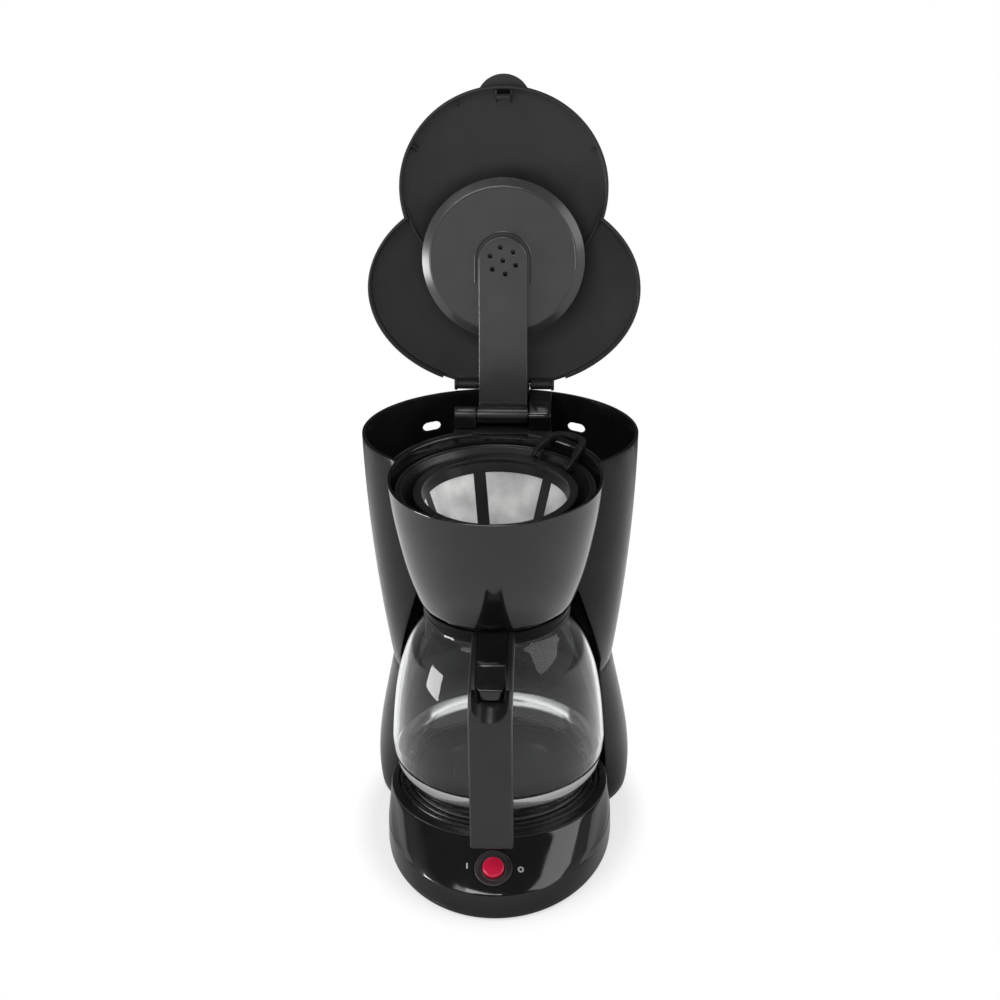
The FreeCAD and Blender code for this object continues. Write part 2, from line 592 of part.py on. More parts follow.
def path_wire(points, bend):
    """Straight runs joined by tangent arcs of one radius."""
    points = [FreeCAD.Vector(*point) for point in points]
    edges, start = [], points[0]
    for before, corner, after in zip(points, points[1:], points[2:]):
        come = (corner - before).normalize()
        leave = (after - corner).normalize()
        half_turn = come.getAngle(leave) / 2
        back = bend * math.tan(half_turn)
        arc_start, arc_end = corner - come * back, corner + leave * back
        inward = (leave - come).normalize()
        middle = corner + inward * (bend / math.cos(half_turn) - bend)
        edges.append(Part.LineSegment(start, arc_start).toShape())
        edges.append(Part.Arc(arc_start, middle, arc_end).toShape())
        start = arc_end
    edges.append(Part.LineSegment(start, points[-1]).toShape())
    return Part.Wire(edges)


def tube(name, points, bend, radius, bore=0.0):
    """A round tube along a path of straight runs and arcs."""
    path = path_wire(points, bend)
    direction = path.Edges[0].tangentAt(path.Edges[0].FirstParameter)

    def swept(ring_radius):
        ring = Part.Wire([Part.makeCircle(ring_radius, FreeCAD.Vector(*points[0]), direction)])
        return path.makePipeShell([ring], True, True)

    shape = swept(radius)
    if bore:
        shape = shape.cut(swept(bore))
    thing = doc.addObject("Part::Feature", name)
    thing.Shape = shape
    return thing


def spring(name, wire, radius, low, high, turns):
    """An upright compression spring."""
    pitch = (high - low - 2 * wire) / turns
    helix = Part.makeHelix(pitch, pitch * turns, radius)
    ring = Part.Wire([Part.makeCircle(wire, FreeCAD.Vector(radius, 0, 0), FreeCAD.Vector(0, 1, 0))])
    thing = doc.addObject("Part::Feature", name)
    thing.Shape = Part.Wire(helix.Edges).makePipeShell([ring], True, True)
    thing.Placement.Base.z = low + wire
    return thing


def node(name, thing):
    """Name a finished sub-part; its label names its file."""
    thing.Label = name
    NODES.append(thing)
    return thing


# ---------------------------------------------------------------- shapes that several parts share

def rear_oval(name, inset, low, high):
    """The rear housing's outer form, drawn in by an inset, between two levels."""
    lower = [("plate_top", "heel"), ("belly_height", "belly"), ("flank_height", "flank"),
             ("waist_height", "waist")]
    upper = [("waist_height", "waist"), ("shoulder_height", "shoulder"), ("rim_height", "rim")]
    form = loft(name + "_form", [(height, f"{level}_half_width - {inset}",
                                  f"{level}_half_depth - {inset}", "rear_centre")
                                 for height, level in (lower if high == "waist_height" else upper)])
    return shared(name, form, box(name + "_range", (FRONT, FRONT, low), (FAR, BACK, high)))


def hood_form(name, grow, low="hood_low_height"):
    """The hood's conical form, grown by a gap or drawn in by a wall."""
    levels = ("hood_low", "hood_lower", "hood_mid", "hood_upper", "hood_rim")
    side = [(f"{level}_radius + {grow}", f"{level}_height") for level in levels]
    form = turned(name + "_form", [("0", "hood_low_height"), *side, ("0", "hood_rim_height")])
    return shared(name, form, box(name + "_range", (FRONT, FRONT, low), (FAR, BACK, "rim_height")))


def bay_form(name, grow, low):
    """The bay of the carafe: upright below, closing in above."""
    upright = cylinder(name + "_upright", f"bay_radius + {grow}",
                       f"bay_shoulder_height - ({low})", ("0", "0", low))
    closing = cone(name + "_closing", f"bay_radius + {grow}", f"bay_top_radius + {grow}",
                   "bay_shoulder_height", f"hood_low_height + {grow}")
    return joined(name, upright, closing)


def screw_shafts(name, radius, low, high):
    return [cylinder(f"{name}_{index}", radius, f"({high}) - ({low})", (x, y, low))
            for index, (x, y) in enumerate(SCREWS)]


# ---------------------------------------------------------------- base

def base_block(name, inset, skirt, top, top_radius):
    """The front oval of the base: upright skirt, then the slope that closes in to the round deck."""
    return loft(name, [("plate_top", f"base_half_depth - {inset}", f"base_half_width - {inset}", "0"),
                       (skirt, f"skirt_half_depth - {inset}", f"skirt_half_width - {inset}", "0"),
                       (top, top_radius, top_radius, "0")], long_axis="y", ruled=True)


def base():
    def limits(name, inset):
        front = box(name + "_front", (FRONT, FRONT, "0"), (FAR, "0", FAR))
        rear = cylinder(name + "_rear", f"bay_radius - seam_gap - {inset}", FAR, ("0", "0", "0"))
        return joined(name, front, rear)

    outer = shared("base_outer", base_block("base_block", "0", "skirt_height", "deck_height",
                                            "deck_radius"), limits("base_limits", "0"))
    inner = shared("base_inner", base_block("base_hollow", "wall", "skirt_height - wall / 2",
                                            "deck_height - wall", "deck_radius - wall / 3"),
                   limits("base_inner_limits", "wall"))
    bosses = [cylinder(f"base_boss_{index}", "boss_radius", "deck_height - plate_top",
                       (x, y, "plate_top")) for index, (x, y) in enumerate(SCREWS[:2])]
    bosses = shared("base_bosses", joined("base_boss_pair", *bosses), outer)
    shell = joined("base_shell", cut("base_walls", outer, inner), bosses)
    deck_hole = cylinder("deck_hole", "deck_hole_radius", "wall * 3",
                         ("0", "0", "deck_height - wall * 2"))
    passage = box("base_passage", ("-passage_half_width", "rear_centre / 2", "plate_top"),
                  ("passage_half_width", "bay_radius + 1", "passage_height"))
    bores = screw_shafts("base_bore", "screw_radius + pin_gap", "plate_top", "thread_end")[:2]
    switch_hole = place(cylinder("switch_hole", "bezel_radius - bezel_lip + seam_gap", "wall * 4",
                                 ("0", "0", "0")),
                        ("0", "switch_y + wall * 2 * sin(control_slope)",
                         "switch_z - wall * 2 * cos(control_slope)"), X_AXIS, "control_slope")
    node("base_housing", cut("base_housing", shell, deck_hole, passage, switch_hole, *bores))


def base_plate():
    def oval(name, outline_name, centre, long_axis):
        across = f"{outline_name}_half_width - plate_inset"
        along = f"{outline_name}_half_depth - plate_inset"
        radii = (along, across) if long_axis == "y" else (across, along)
        return loft(name, [(level, *radii, centre) for level in ("foot_height", "plate_top")], long_axis)

    front = shared("plate_front_part", oval("plate_front", "base", "0", "y"),
                   box("plate_front_limit", (FRONT, FRONT, "0"), (FAR, "rear_centre", FAR)))
    pad = cylinder("pad", "pad_radius", "foot_height + plate_thickness / 2", ("0", "0", "0"))
    blank = joined("plate_blank", front, oval("plate_rear", "heel", "rear_centre", "x"), pad)
    holes = screw_shafts("plate_bore", "screw_radius + pin_gap", "0", "plate_top + 1")
    sinks = screw_shafts("plate_sink", "screw_head_radius + seam_gap", "0",
                         "foot_height + screw_head_height")
    node("base_plate", cut("base_plate", blank, *holes, *sinks))

    corners = [(f"{side} * {end}_foot_x", f"{end}_foot_y") for end in ("front", "rear")
               for side in ("-1", "1")]
    feet = [cylinder(f"foot_{index}", "foot_radius", "foot_height", (x, y, "0"))
            for index, (x, y) in enumerate(corners)]
    node("rubber_feet", group("rubber_feet", *feet))

    screws = [joined(f"screw_{index}",
                     cylinder(f"screw_head_{index}", "screw_head_radius", "screw_head_height",
                              (x, y, "foot_height")),
                     cylinder(f"screw_shank_{index}", "screw_radius", "screw_length",
                              (x, y, "foot_height")))
              for index, (x, y) in enumerate(SCREWS)]
    node("housing_screws", group("housing_screws", *screws))


def heater():
    node("sealing_ring", turned("sealing_ring", [
        ("ring_inner_radius", "deck_height"), ("deck_radius - ring_inset", "deck_height"),
        ("deck_radius - ring_inset", "deck_height + ring_edge"),
        ("deck_radius - ring_land", "deck_height + ring_land_rise"),
        ("deck_radius - ring_land - ring_groove", "deck_height + ring_land_rise - ring_groove"),
        ("deck_radius - ring_land - ring_groove * 2", "deck_height + ring_land_rise - ring_groove / 2"),
        ("ring_inner_radius + ring_edge", "deck_height + ring_rise"),
        ("ring_inner_radius", "deck_height + ring_rise")]))
    node("hot_plate", turned("hot_plate", [
        ("0", "hot_plate_low"), ("deck_hole_radius - hot_plate_play", "hot_plate_low"),
        ("deck_hole_radius - hot_plate_play", "deck_height + seam_gap"),
        ("hot_plate_radius", "deck_height + seam_gap"),
        ("hot_plate_radius", "hot_plate_height - hot_plate_edge"),
        ("hot_plate_radius - hot_plate_edge", "hot_plate_height"), ("0", "hot_plate_height")]))

    def horseshoe(name, reach, height, end, radius, bore=0.0):
        side, level, leg = size(reach), size(height), size(end)
        return tube(name, [(-side, leg, level), (-side, -side, level), (side, -side, level),
                           (side, leg, level)], side * 0.98, radius, bore)

    node("water_tube", horseshoe("water_tube", "water_tube_radius", "water_tube_z", "leg_end",
                                 size("nipple_radius"), size("nipple_bore")))
    node("heating_element", horseshoe("heating_element", "element_radius", "element_z", "element_end",
                                      size("element_thickness")))
    spreader = cylinder("spreader_disc", "element_radius + element_thickness + spreader_margin",
                        "hot_plate_low - spreader_low", ("0", "0", "spreader_low"))
    inside = cylinder("spreader_hole", "water_tube_radius - nipple_radius - spreader_margin", FAR,
                      ("0", "0", "0"))
    behind = box("spreader_cut", (FRONT, "element_end", "0"), (FAR, BACK, FAR))
    node("heat_spreader", cut("heat_spreader", spreader, inside, behind))

    strap_top = "water_tube_z - nipple_radius - seam_gap"
    strap = box("clamp_strap",
                ("-strap_reach", "strap_y - strap_half_width", f"{strap_top} - strap_thickness"),
                ("strap_reach", "strap_y + strap_half_width", strap_top))
    post = cylinder("clamp_post", "strap_post", f"hot_plate_low - ({strap_top}) + strap_thickness",
                    ("0", "strap_y", f"{strap_top} - strap_thickness"))
    node("element_clamp", joined("element_clamp", strap, post))

    can_low = "hot_plate_low - thermostat_height"
    can = cylinder("thermostat_can", "thermostat_radius", "thermostat_height",
                   ("0", "thermostat_y", can_low))
    tabs = box("thermostat_tabs",
               ("-thermostat_tab * 3", "thermostat_y - thermostat_tab", f"{can_low} - thermostat_tab"),
               ("thermostat_tab * 3", "thermostat_y + thermostat_tab", f"{can_low} + wall / 4"))
    node("thermostat", joined("thermostat", can, tabs))
    fuses = [cylinder(f"fuse_{index}", "fuse_radius", "fuse_length",
                      (f"{side} * fuse_x - fuse_length / 2", "fuse_y",
                       "hot_plate_low - fuse_radius - seam_gap"), "x")
             for index, side in enumerate(("-1", "1"))]
    node("thermal_fuses", group("thermal_fuses", *fuses))


# ---------------------------------------------------------------- rear housing, tank and hood

def lower_housing():
    outer = rear_oval("lower_outer", "0", "plate_top", "waist_height")
    inner = rear_oval("lower_inner", "wall", "plate_top", "waist_height")
    bay = cylinder("lower_bay", "bay_radius", FAR, ("0", "0", "0"))
    bay_wall = cylinder("lower_bay_wall", "bay_radius + wall", "waist_height - plate_top",
                        ("0", "0", "plate_top"))
    bosses = [cylinder(f"lower_boss_{index}", "boss_radius", "passage_height - plate_top",
                       (x, y, "plate_top")) for index, (x, y) in enumerate(SCREWS[2:])]
    gussets = [box(f"lower_gusset_{index}", (low, "rear_screw_y - wall / 2", "plate_top"),
                   (high, "rear_screw_y + wall / 2", "passage_height"))
               for index, (low, high) in enumerate((("rear_screw_x", "belly_half_width"),
                                                    ("-belly_half_width", "-rear_screw_x")))]
    room = cut("lower_room", inner, bay_wall, *bosses, *gussets)
    passage = box("lower_passage", ("-passage_half_width", "rear_centre / 2", "plate_top"),
                  ("passage_half_width", "bay_radius + wall * 3", "passage_height"))
    bores = screw_shafts("lower_bore", "screw_radius + pin_gap", "plate_top", "thread_end")[2:]
    inlet = cylinder("inlet_hole", "gland_neck + seam_gap", "wall * 6",
                     ("0", "belly_rear - wall * 3", "gland_height"), "y")
    skin = cut("lower_skin", outer, room)
    node("lower_housing", cut("lower_housing", skin, bay, passage, inlet, *bores))

    neck = cylinder("gland_neck_tube", "gland_neck", "gland_depth + seam_gap + gland_flange_depth",
                    ("0", "belly_rear - gland_depth", "gland_height"), "y")
    flange = cylinder("gland_flange", "gland_radius", "gland_flange_depth",
                      ("0", "belly_rear + seam_gap", "gland_height"), "y")
    bore = cylinder("gland_hole", "gland_bore", "gland_depth * 2",
                    ("0", "belly_rear - gland_depth - 1", "gland_height"), "y")
    node("cord_inlet", cut("cord_inlet", joined("gland", neck, flange), bore))


def arm_notch(name):
    """The notch that the spray arm crosses, through the rims of hood and tank."""
    return box(name, ("-notch_half_width", "hood_upper_radius - wall * 2", "rim_height - notch_depth"),
               ("notch_half_width", "hood_rim_radius + wall * 3", "rim_height + 1"))


def column_room(name, inset, low, high):
    """The column's cross section, drawn in by an inset, and kept off the tank's rear wall."""
    room = box(name + "_box", (f"-column_half_width + {inset}", f"column_front + {inset}", low),
               (f"column_half_width - {inset}", BACK, high))
    return shared(name, room, rear_oval(name + "_oval", f"(wall + seam_gap + {inset})",
                                        "waist_height", "rim_height"))


def tank():
    outer = rear_oval("tank_outer", "0", "waist_height", "rim_height")
    inner = rear_oval("tank_inner", "wall", "tank_floor", "rim_height")
    bay = bay_form("tank_bay", "0", "waist_height - 1")
    room = cut("tank_room", inner, bay_form("tank_bay_wall", "wall", "waist_height"),
               hood_form("tank_hood_wall", "(seam_gap + wall)"))
    nipple_at = ("-water_tube_radius", "inlet_hose_y", "nipple_low")
    nipple = cylinder("tank_nipple", "nipple_radius", "tank_floor - nipple_low", nipple_at)
    walls = joined("tank_walls", cut("tank_skin", outer, room), nipple)
    outlet = cylinder("tank_outlet", "nipple_bore", "tank_floor - nipple_low + 2", nipple_at)
    shaft = column_room("tank_shaft", "wall", "waist_height", "tank_floor + 1")
    overflows = []
    for name, middle in (("overflow_left", "-overflow_x"), ("overflow_right", "overflow_x")):
        ends = [f"{middle} - overflow_half_width", f"{middle} + overflow_half_width"]
        overflows += [cylinder(f"{name}_{index}", "overflow_radius", FAR,
                               (end, "arm_pivot_y", "overflow_height"), "y")
                      for index, end in enumerate(ends)]
        overflows.append(box(name, (ends[0], "arm_pivot_y", "overflow_height - overflow_radius"),
                             (ends[1], BACK, "overflow_height + overflow_radius")))
    node("tank_housing", cut("tank_housing", walls, bay, hood_form("hood_room", "seam_gap"), outlet,
                             shaft, arm_notch("tank_notch"), *overflows))

    body = column_room("column_body", "0", "tank_floor", "column_top")
    hollow = column_room("column_hollow", "wall", "tank_floor", "column_top - wall")
    top_hole = cylinder("column_hole", "nipple_radius + seam_gap", "wall * 3",
                        ("riser_x", "arm_pivot_y", "column_top - wall * 2"))
    node("water_column", cut("water_column", body, hollow, top_hole))


def hood():
    outer = hood_form("hood_outer", "0")
    inner = hood_form("hood_inner", "-wall", "hood_low_height + wall")
    outlet = cylinder("hood_outlet", "hood_outlet_radius", "wall * 3",
                      ("0", "0", "hood_low_height - wall"))
    node("brew_hood", cut("brew_hood", outer, inner, outlet, arm_notch("hood_notch")))


def hinge_parts():
    arm_pivot = ("arm_pivot_y", "arm_pivot_z")
    front, back = "arm_pivot_y - ear_half_depth", "arm_pivot_y + ear_half_depth"
    low, high = "column_top + seam_gap", "arm_pivot_z + ear_rise"
    ear = box("right_ear", ("ear_start", front, low), ("column_half_width", back, high))
    ear_bore = cylinder("right_ear_bore", "arm_pin_radius + pin_gap", "column_half_width",
                        ("0", *arm_pivot), "x")
    node("arm_bearing", cut("arm_bearing", ear, ear_bore))

    block = box("elbow_block", ("-column_half_width", front, low), ("-ear_start", back, high))
    pivot = cylinder("elbow_pivot", "arm_pin_radius", "ear_start * 2 + elbow_reach",
                     ("-ear_start - seam_gap", *arm_pivot), "x")
    nipple = cylinder("elbow_nipple", "nipple_radius", "elbow_nipple_reach + seam_gap * 2",
                      ("riser_x", "arm_pivot_y", "elbow_low"))
    bore_up = cylinder("elbow_bore_up", "elbow_bore", "arm_pivot_z - elbow_low",
                       ("riser_x", "arm_pivot_y", "elbow_low"))
    bore_side = cylinder("elbow_bore_side", "elbow_bore", "elbow_reach - riser_x",
                         ("riser_x", *arm_pivot), "x")
    elbow = joined("elbow", block, pivot, nipple)
    node("outlet_elbow", cut("outlet_elbow", elbow, bore_up, bore_side))

    half = "knuckle_start - ear_gap"
    bracket = box("bracket_block", (f"-({half})", "lid_pivot_y - bracket_depth", low),
                  (half, "lid_pivot_y - pin_radius - bracket_front", "lid_pivot_z + pin_radius"))
    knuckle = cylinder("bracket_knuckle", "knuckle_radius", f"({half}) * 2",
                       (f"-({half})", "lid_pivot_y", "lid_pivot_z"), "x")
    bore = cylinder("bracket_bore", "pin_radius + pin_gap", "knuckle_end * 2",
                    ("-knuckle_end", "lid_pivot_y", "lid_pivot_z"), "x")
    node("hinge_bracket", cut("hinge_bracket", joined("bracket", bracket, knuckle), bore))
    node("lid_hinge_pin", cylinder("lid_hinge_pin", "pin_radius", "knuckle_end * 2",
                                   ("-knuckle_end", "lid_pivot_y", "lid_pivot_z"), "x"))


def plumbing():
    radius, bore, bend = size("hose_radius"), size("hose_bore"), size("hose_bend")
    reach, height, run = size("water_tube_radius"), size("water_tube_z"), size("hose_run_height")
    start, drop = size("leg_end") - size("hose_overlap"), size("hose_drop_y")
    turn_up, valve_low = size("inlet_hose_y"), size("valve_low")
    valve_top = valve_low + size("valve_length")
    overlap, gap = size("hose_overlap"), size("seam_gap")
    node("inlet_hose", tube("inlet_hose", [
        (-reach, start, height), (-reach, drop, height), (-reach, drop, run),
        (-reach, turn_up, run), (-reach, turn_up, valve_low - gap)], bend, radius, bore))
    node("tank_hose", tube("tank_hose", [
        (-reach, turn_up, valve_top + gap), (-reach, turn_up, size("nipple_low") + overlap)],
        bend, radius, bore))
    column_y, column_x = size("arm_pivot_y"), size("riser_x")
    node("riser_hose", tube("riser_hose", [
        (reach, start, height), (reach, drop, height), (reach, drop, run),
        (reach, column_y - bend * 2, run), (column_x, column_y, run),
        (column_x, column_y, size("elbow_low") + overlap)], bend, radius, bore))

    centre = ("-water_tube_radius", "inlet_hose_y")
    shell = joined("valve_shell",
                   cylinder("valve_barrel", "valve_body_radius", "valve_length", (*centre, "valve_low")),
                   cylinder("valve_stub", "nipple_radius", "valve_length + hose_overlap * 2",
                            (*centre, "valve_low - hose_overlap")))
    ways = [cylinder("valve_way", "nipple_bore", "valve_length + hose_overlap * 4",
                     (*centre, "valve_low - hose_overlap * 2")),
            cylinder("valve_chamber", "valve_body_radius - valve_wall", "valve_length - valve_end * 2",
                     (*centre, "valve_low + valve_end"))]
    node("check_valve", cut("check_valve", shell, *ways))
    ball = doc.addObject("Part::Sphere", "check_ball")
    ball.setExpression("Radius", linked("ball_radius"))
    above_seat = "sqrt((ball_radius + seam_gap)^2 - nipple_bore^2)"
    node("check_ball", place(ball, (*centre, f"valve_low + valve_end + {above_seat}")))

    inside = "(clamp_width + clamp_inset)"

    def ring(name, position, axis):
        band = cylinder(name + "_band", "hose_radius + clamp_thickness", "clamp_width", position, axis)
        hole = cylinder(name + "_hole", "hose_radius + pin_gap", "clamp_width", position, axis)
        return cut(name, band, hole)

    node("hose_clamps", group(
        "hose_clamps",
        ring("clamp_inlet", ("-water_tube_radius", f"leg_end - {inside}", "water_tube_z"), "y"),
        ring("clamp_riser", ("water_tube_radius", f"leg_end - {inside}", "water_tube_z"), "y"),
        ring("clamp_valve_low", (*centre, f"valve_low - {inside}"), "z"),
        ring("clamp_valve_top", (*centre, "valve_low + valve_length + clamp_inset"), "z"),
        ring("clamp_tank", (*centre, "nipple_low + clamp_inset"), "z"),
        ring("clamp_elbow", ("riser_x", "arm_pivot_y", "elbow_low + clamp_inset"), "z")))


# ---------------------------------------------------------------- switch

def on_slope(thing, depth, across="0"):
    """Stand a thing square on the control slope, so deep below its surface."""
    return place(thing, (across, f"switch_y + ({depth}) * sin(control_slope)",
                         f"switch_z - ({depth}) * cos(control_slope)"), X_AXIS, "control_slope")


def switch():
    top = "bezel_depth + pin_gap + bezel_lip_depth"
    plug = cylinder("bezel_plug", "bezel_radius - bezel_lip", top, ("0", "0", "0"))
    lip = cylinder("bezel_lip_ring", "bezel_radius", "bezel_lip_depth",
                   ("0", "0", f"{top} - bezel_lip_depth"))
    dish = cone("bezel_dish", "button_radius + bezel_lip", "bezel_radius - bezel_lip / 4",
                f"{top} - bezel_dish_depth", f"{top} + pin_gap")
    bore = cylinder("bezel_bore", "button_radius + button_gap", f"({top}) * 2", ("0", "0", f"-({top}) / 2"))
    bezel = cut("switch_bezel", joined("bezel", plug, lip), dish, bore)
    node("switch_bezel", on_slope(bezel, "bezel_depth"))

    flange = cylinder("button_base", "button_flange", "button_flange_depth", ("0", "0", "0"))
    stem = cylinder("button_stem", "button_radius",
                    "button_flange_depth + seam_gap + bezel_depth + button_rise", ("0", "0", "0"))
    node("power_button", on_slope(joined("power_button", flange, stem),
                                  "bezel_depth + seam_gap + button_flange_depth"))

    half, tab = "switch_half_width", "switch_tab"
    case = box("switch_case", (f"-{half}", f"-{half}", "0"), (half, half, "switch_height"))
    tabs = box("switch_tabs", (f"-{half} + {tab}", f"-{tab} / 2", f"-{tab}"),
               (f"{half} - {tab}", f"{tab} / 2", f"{tab} / 4"))
    node("switch_body", on_slope(joined("switch_body", case, tabs), "switch_top + switch_height"))

    space = size("switch_top") - size("bezel_depth") - size("seam_gap") - size("button_flange_depth")
    coil = spring("button_spring", size("button_spring_wire"), size("button_spring_radius"),
                  0, space - 2 * size("seam_gap"), 3)
    coil.Placement = FreeCAD.Placement()
    node("button_spring", on_slope(coil, "switch_top - seam_gap - button_spring_wire"))

    half, stroke, reach = "mark_height / 2", "mark_stroke", "bezel_depth * 2"
    letter_i = box("mark_on", (f"-{stroke} / 2", f"-{half}", "0"), (f"{stroke} / 2", half, reach))
    outer = cylinder("mark_off_outer", half, reach, ("0", "0", "0"))
    inner = cylinder("mark_off_inner", f"{half} - {stroke}", reach, ("0", "0", "0"))
    letter_o = cut("mark_off", outer, inner)
    letters = [on_slope(letter_i, "bezel_depth", "-mark_distance"),
               on_slope(letter_o, "bezel_depth", "mark_distance")]
    skin = cut("mark_skin",
               base_block("mark_skin_outer", "-mark_relief", "skirt_height", "deck_height + mark_relief",
                          "deck_radius + mark_relief / 2"),
               base_block("mark_skin_inner", "0", "skirt_height", "deck_height", "deck_radius"))
    node("switch_marks", shared("switch_marks", joined("mark_letters", *letters), skin))


# ---------------------------------------------------------------- spray arm and lid

def swung(name, thing, pivot, angle):
    """Hang a thing, drawn closed about its pivot, at its open angle."""
    return node(name, place(thing, ("0", pivot + "_y", pivot + "_z"), X_AXIS, f"-({angle})"))


def spray_arm():
    head, floor = "-arm_length", "arm_low + arm_wall"
    half, inside = "arm_half_width", "(arm_half_width - arm_wall)"
    bar = box("arm_bar", (f"-{half}", head, "arm_low"), (half, "arm_barrel_radius", "arm_face"))
    end = cylinder("arm_head", half, "arm_depth", ("0", head, "arm_low"))
    barrel = cylinder("arm_barrel", "arm_barrel_radius", "(ear_start - ear_gap) * 2",
                      ("ear_gap - ear_start", "0", "0"), "x")
    web = box("arm_web", (f"-{half}", "-arm_barrel_radius", "0"), (half, "arm_barrel_radius", "arm_face"))
    channel = box("channel_bar", (f"-{inside}", head, floor),
                  (inside, "-arm_barrel_radius - arm_wall", "arm_face + 1"))
    channel_end = cylinder("channel_head", inside, "arm_depth", ("0", head, floor))
    bore = cylinder("arm_bore", "arm_pin_radius + pin_gap", "column_half_width * 2",
                    ("-column_half_width", "0", "0"), "x")
    spots = [("0", head)]
    for index in range(6):
        angle = f"({index} * 60 + shower_ring_start)"
        spots.append((f"shower_ring_radius * cos({angle})",
                      f"{head} + shower_ring_radius * sin({angle})"))
    holes = [cylinder(f"shower_hole_{index}", "shower_hole_radius", "arm_depth", (x, y, "arm_low - 1"))
             for index, (x, y) in enumerate(spots)]
    blank = joined("arm_blank", bar, end, barrel, web)
    swung("spray_arm", cut("spray_arm", blank, channel, channel_end, bore, *holes),
          "arm_pivot", "arm_open_angle")

    low, floor = "arm_face + seam_gap", "arm_face + seam_gap + disc_wall"
    solid = cone("disc_solid", "disc_face_radius", "disc_radius", low, "disc_back")
    hollow = cone("disc_hollow", "disc_face_radius - disc_wall", "disc_radius - disc_wall",
                  floor, "disc_back + seam_gap")
    place(solid, ("0", head, low))
    place(hollow, ("0", head, floor))
    cover = box("arm_cover", (f"-{half}", head, low),
                (half, "-arm_barrel_radius - arm_wall / 2", floor))
    swung("splash_disc", joined("splash_disc", cut("disc_shell", solid, hollow), cover),
          "arm_pivot", "arm_open_angle")
    screws = [cylinder(f"disc_screw_{index}", "disc_screw_radius", "screw_head_height",
                       (f"{side} * disc_screw_x", f"{head} + disc_screw_y", f"{floor} + pin_gap"))
              for index, side in enumerate(("-1", "1"))]
    swung("disc_screws", group("disc_screws", *screws), "arm_pivot", "arm_open_angle")


def lid():
    hood_lobe = ("lid_circle_radius", "lid_circle_radius", "-lid_pivot_y")
    tank_lobe = ("lid_half_width", "lid_half_depth", "rear_centre - lid_pivot_y")

    def lobe(name, form, inset, low, top):
        half_width, half_depth, centre = form
        return oval_block(name, f"{half_width} - {inset}", f"{half_depth} - {inset}", centre, low, top)

    def bevelled(name, form):
        half_width, half_depth, centre = form
        edge = "lid_top_z - lid_bevel_height"
        crown = loft(name + "_crown", [(edge, half_width, half_depth, centre),
                                       ("lid_top_z", f"{half_width} - lid_bevel",
                                        f"{half_depth} - lid_bevel", centre)], ruled=True)
        return joined(name, lobe(name + "_side", form, "0", "lid_skirt_z", edge), crown)

    outer = joined("lid_outer", bevelled("lid_hood_lobe", hood_lobe),
                   bevelled("lid_tank_lobe", tank_lobe))
    room_top = "lid_top_z - lid_wall"
    rooms = [lobe("lid_hood_room", hood_lobe, "lid_wall", "lid_skirt_z - 1", room_top),
             lobe("lid_tank_room", tank_lobe, "lid_wall", "lid_skirt_z - 1", room_top)]
    relief = box("lid_relief", ("-skirt_relief", "-relief_depth", "lid_skirt_z - 1"),
                 ("skirt_relief", BACK, room_top))
    shell = cut("lid_dish", outer, *rooms, relief)

    front, corner = "-lid_pivot_y - lid_circle_radius", "tab_corner"
    tab_low = "lid_skirt_z + tab_thickness"
    tab = joined("lid_tab_block",
                 box("tab_middle", (f"-tab_half_width + {corner}", f"{front} - tab_reach", tab_low),
                     (f"tab_half_width - {corner}", f"{front} + tab_corner", f"{tab_low} + tab_thickness")),
                 box("tab_sides", ("-tab_half_width", f"{front} - tab_reach + {corner}", tab_low),
                     ("tab_half_width", f"{front} + tab_corner", f"{tab_low} + tab_thickness")),
                 *[cylinder(f"tab_corner_{index}", corner, "tab_thickness",
                            (f"{side} * (tab_half_width - {corner})",
                             f"{front} - tab_reach + {corner}", tab_low))
                   for index, side in enumerate(("-1", "1"))])
    trim = cylinder("tab_trim", "lid_circle_radius - lid_wall / 2", FAR,
                    ("0", "-lid_pivot_y", "lid_skirt_z"))
    tab = cut("lid_tab", tab, trim)
    latch = box("lid_latch", ("-latch_half_width", f"{front} + latch_inset", f"{room_top} - latch_depth"),
                ("latch_half_width", f"{front} + latch_inset + latch_thickness", "lid_top_z - 1"))

    knuckles = []
    for index, start in enumerate(("-knuckle_end", "knuckle_start")):
        knuckles.append(cylinder(f"lid_knuckle_{index}", "knuckle_radius", "knuckle_end - knuckle_start",
                                 (start, "0", "0"), "x"))
        knuckles.append(box(f"lid_leaf_{index}", (start, "-knuckle_radius", "0"),
                            (f"{start} + knuckle_end - knuckle_start", "pin_radius", "lid_top_z - 1")))
    bore = cylinder("lid_bore", "pin_radius + pin_gap", "knuckle_end * 4",
                    ("-knuckle_end * 2", "0", "0"), "x")
    whole = joined("lid_whole", shell, tab, latch, *knuckles)
    swung("lid_shell", cut("lid_shell", whole, bore), "lid_pivot", "lid_open_angle")


# ---------------------------------------------------------------- basket and filter

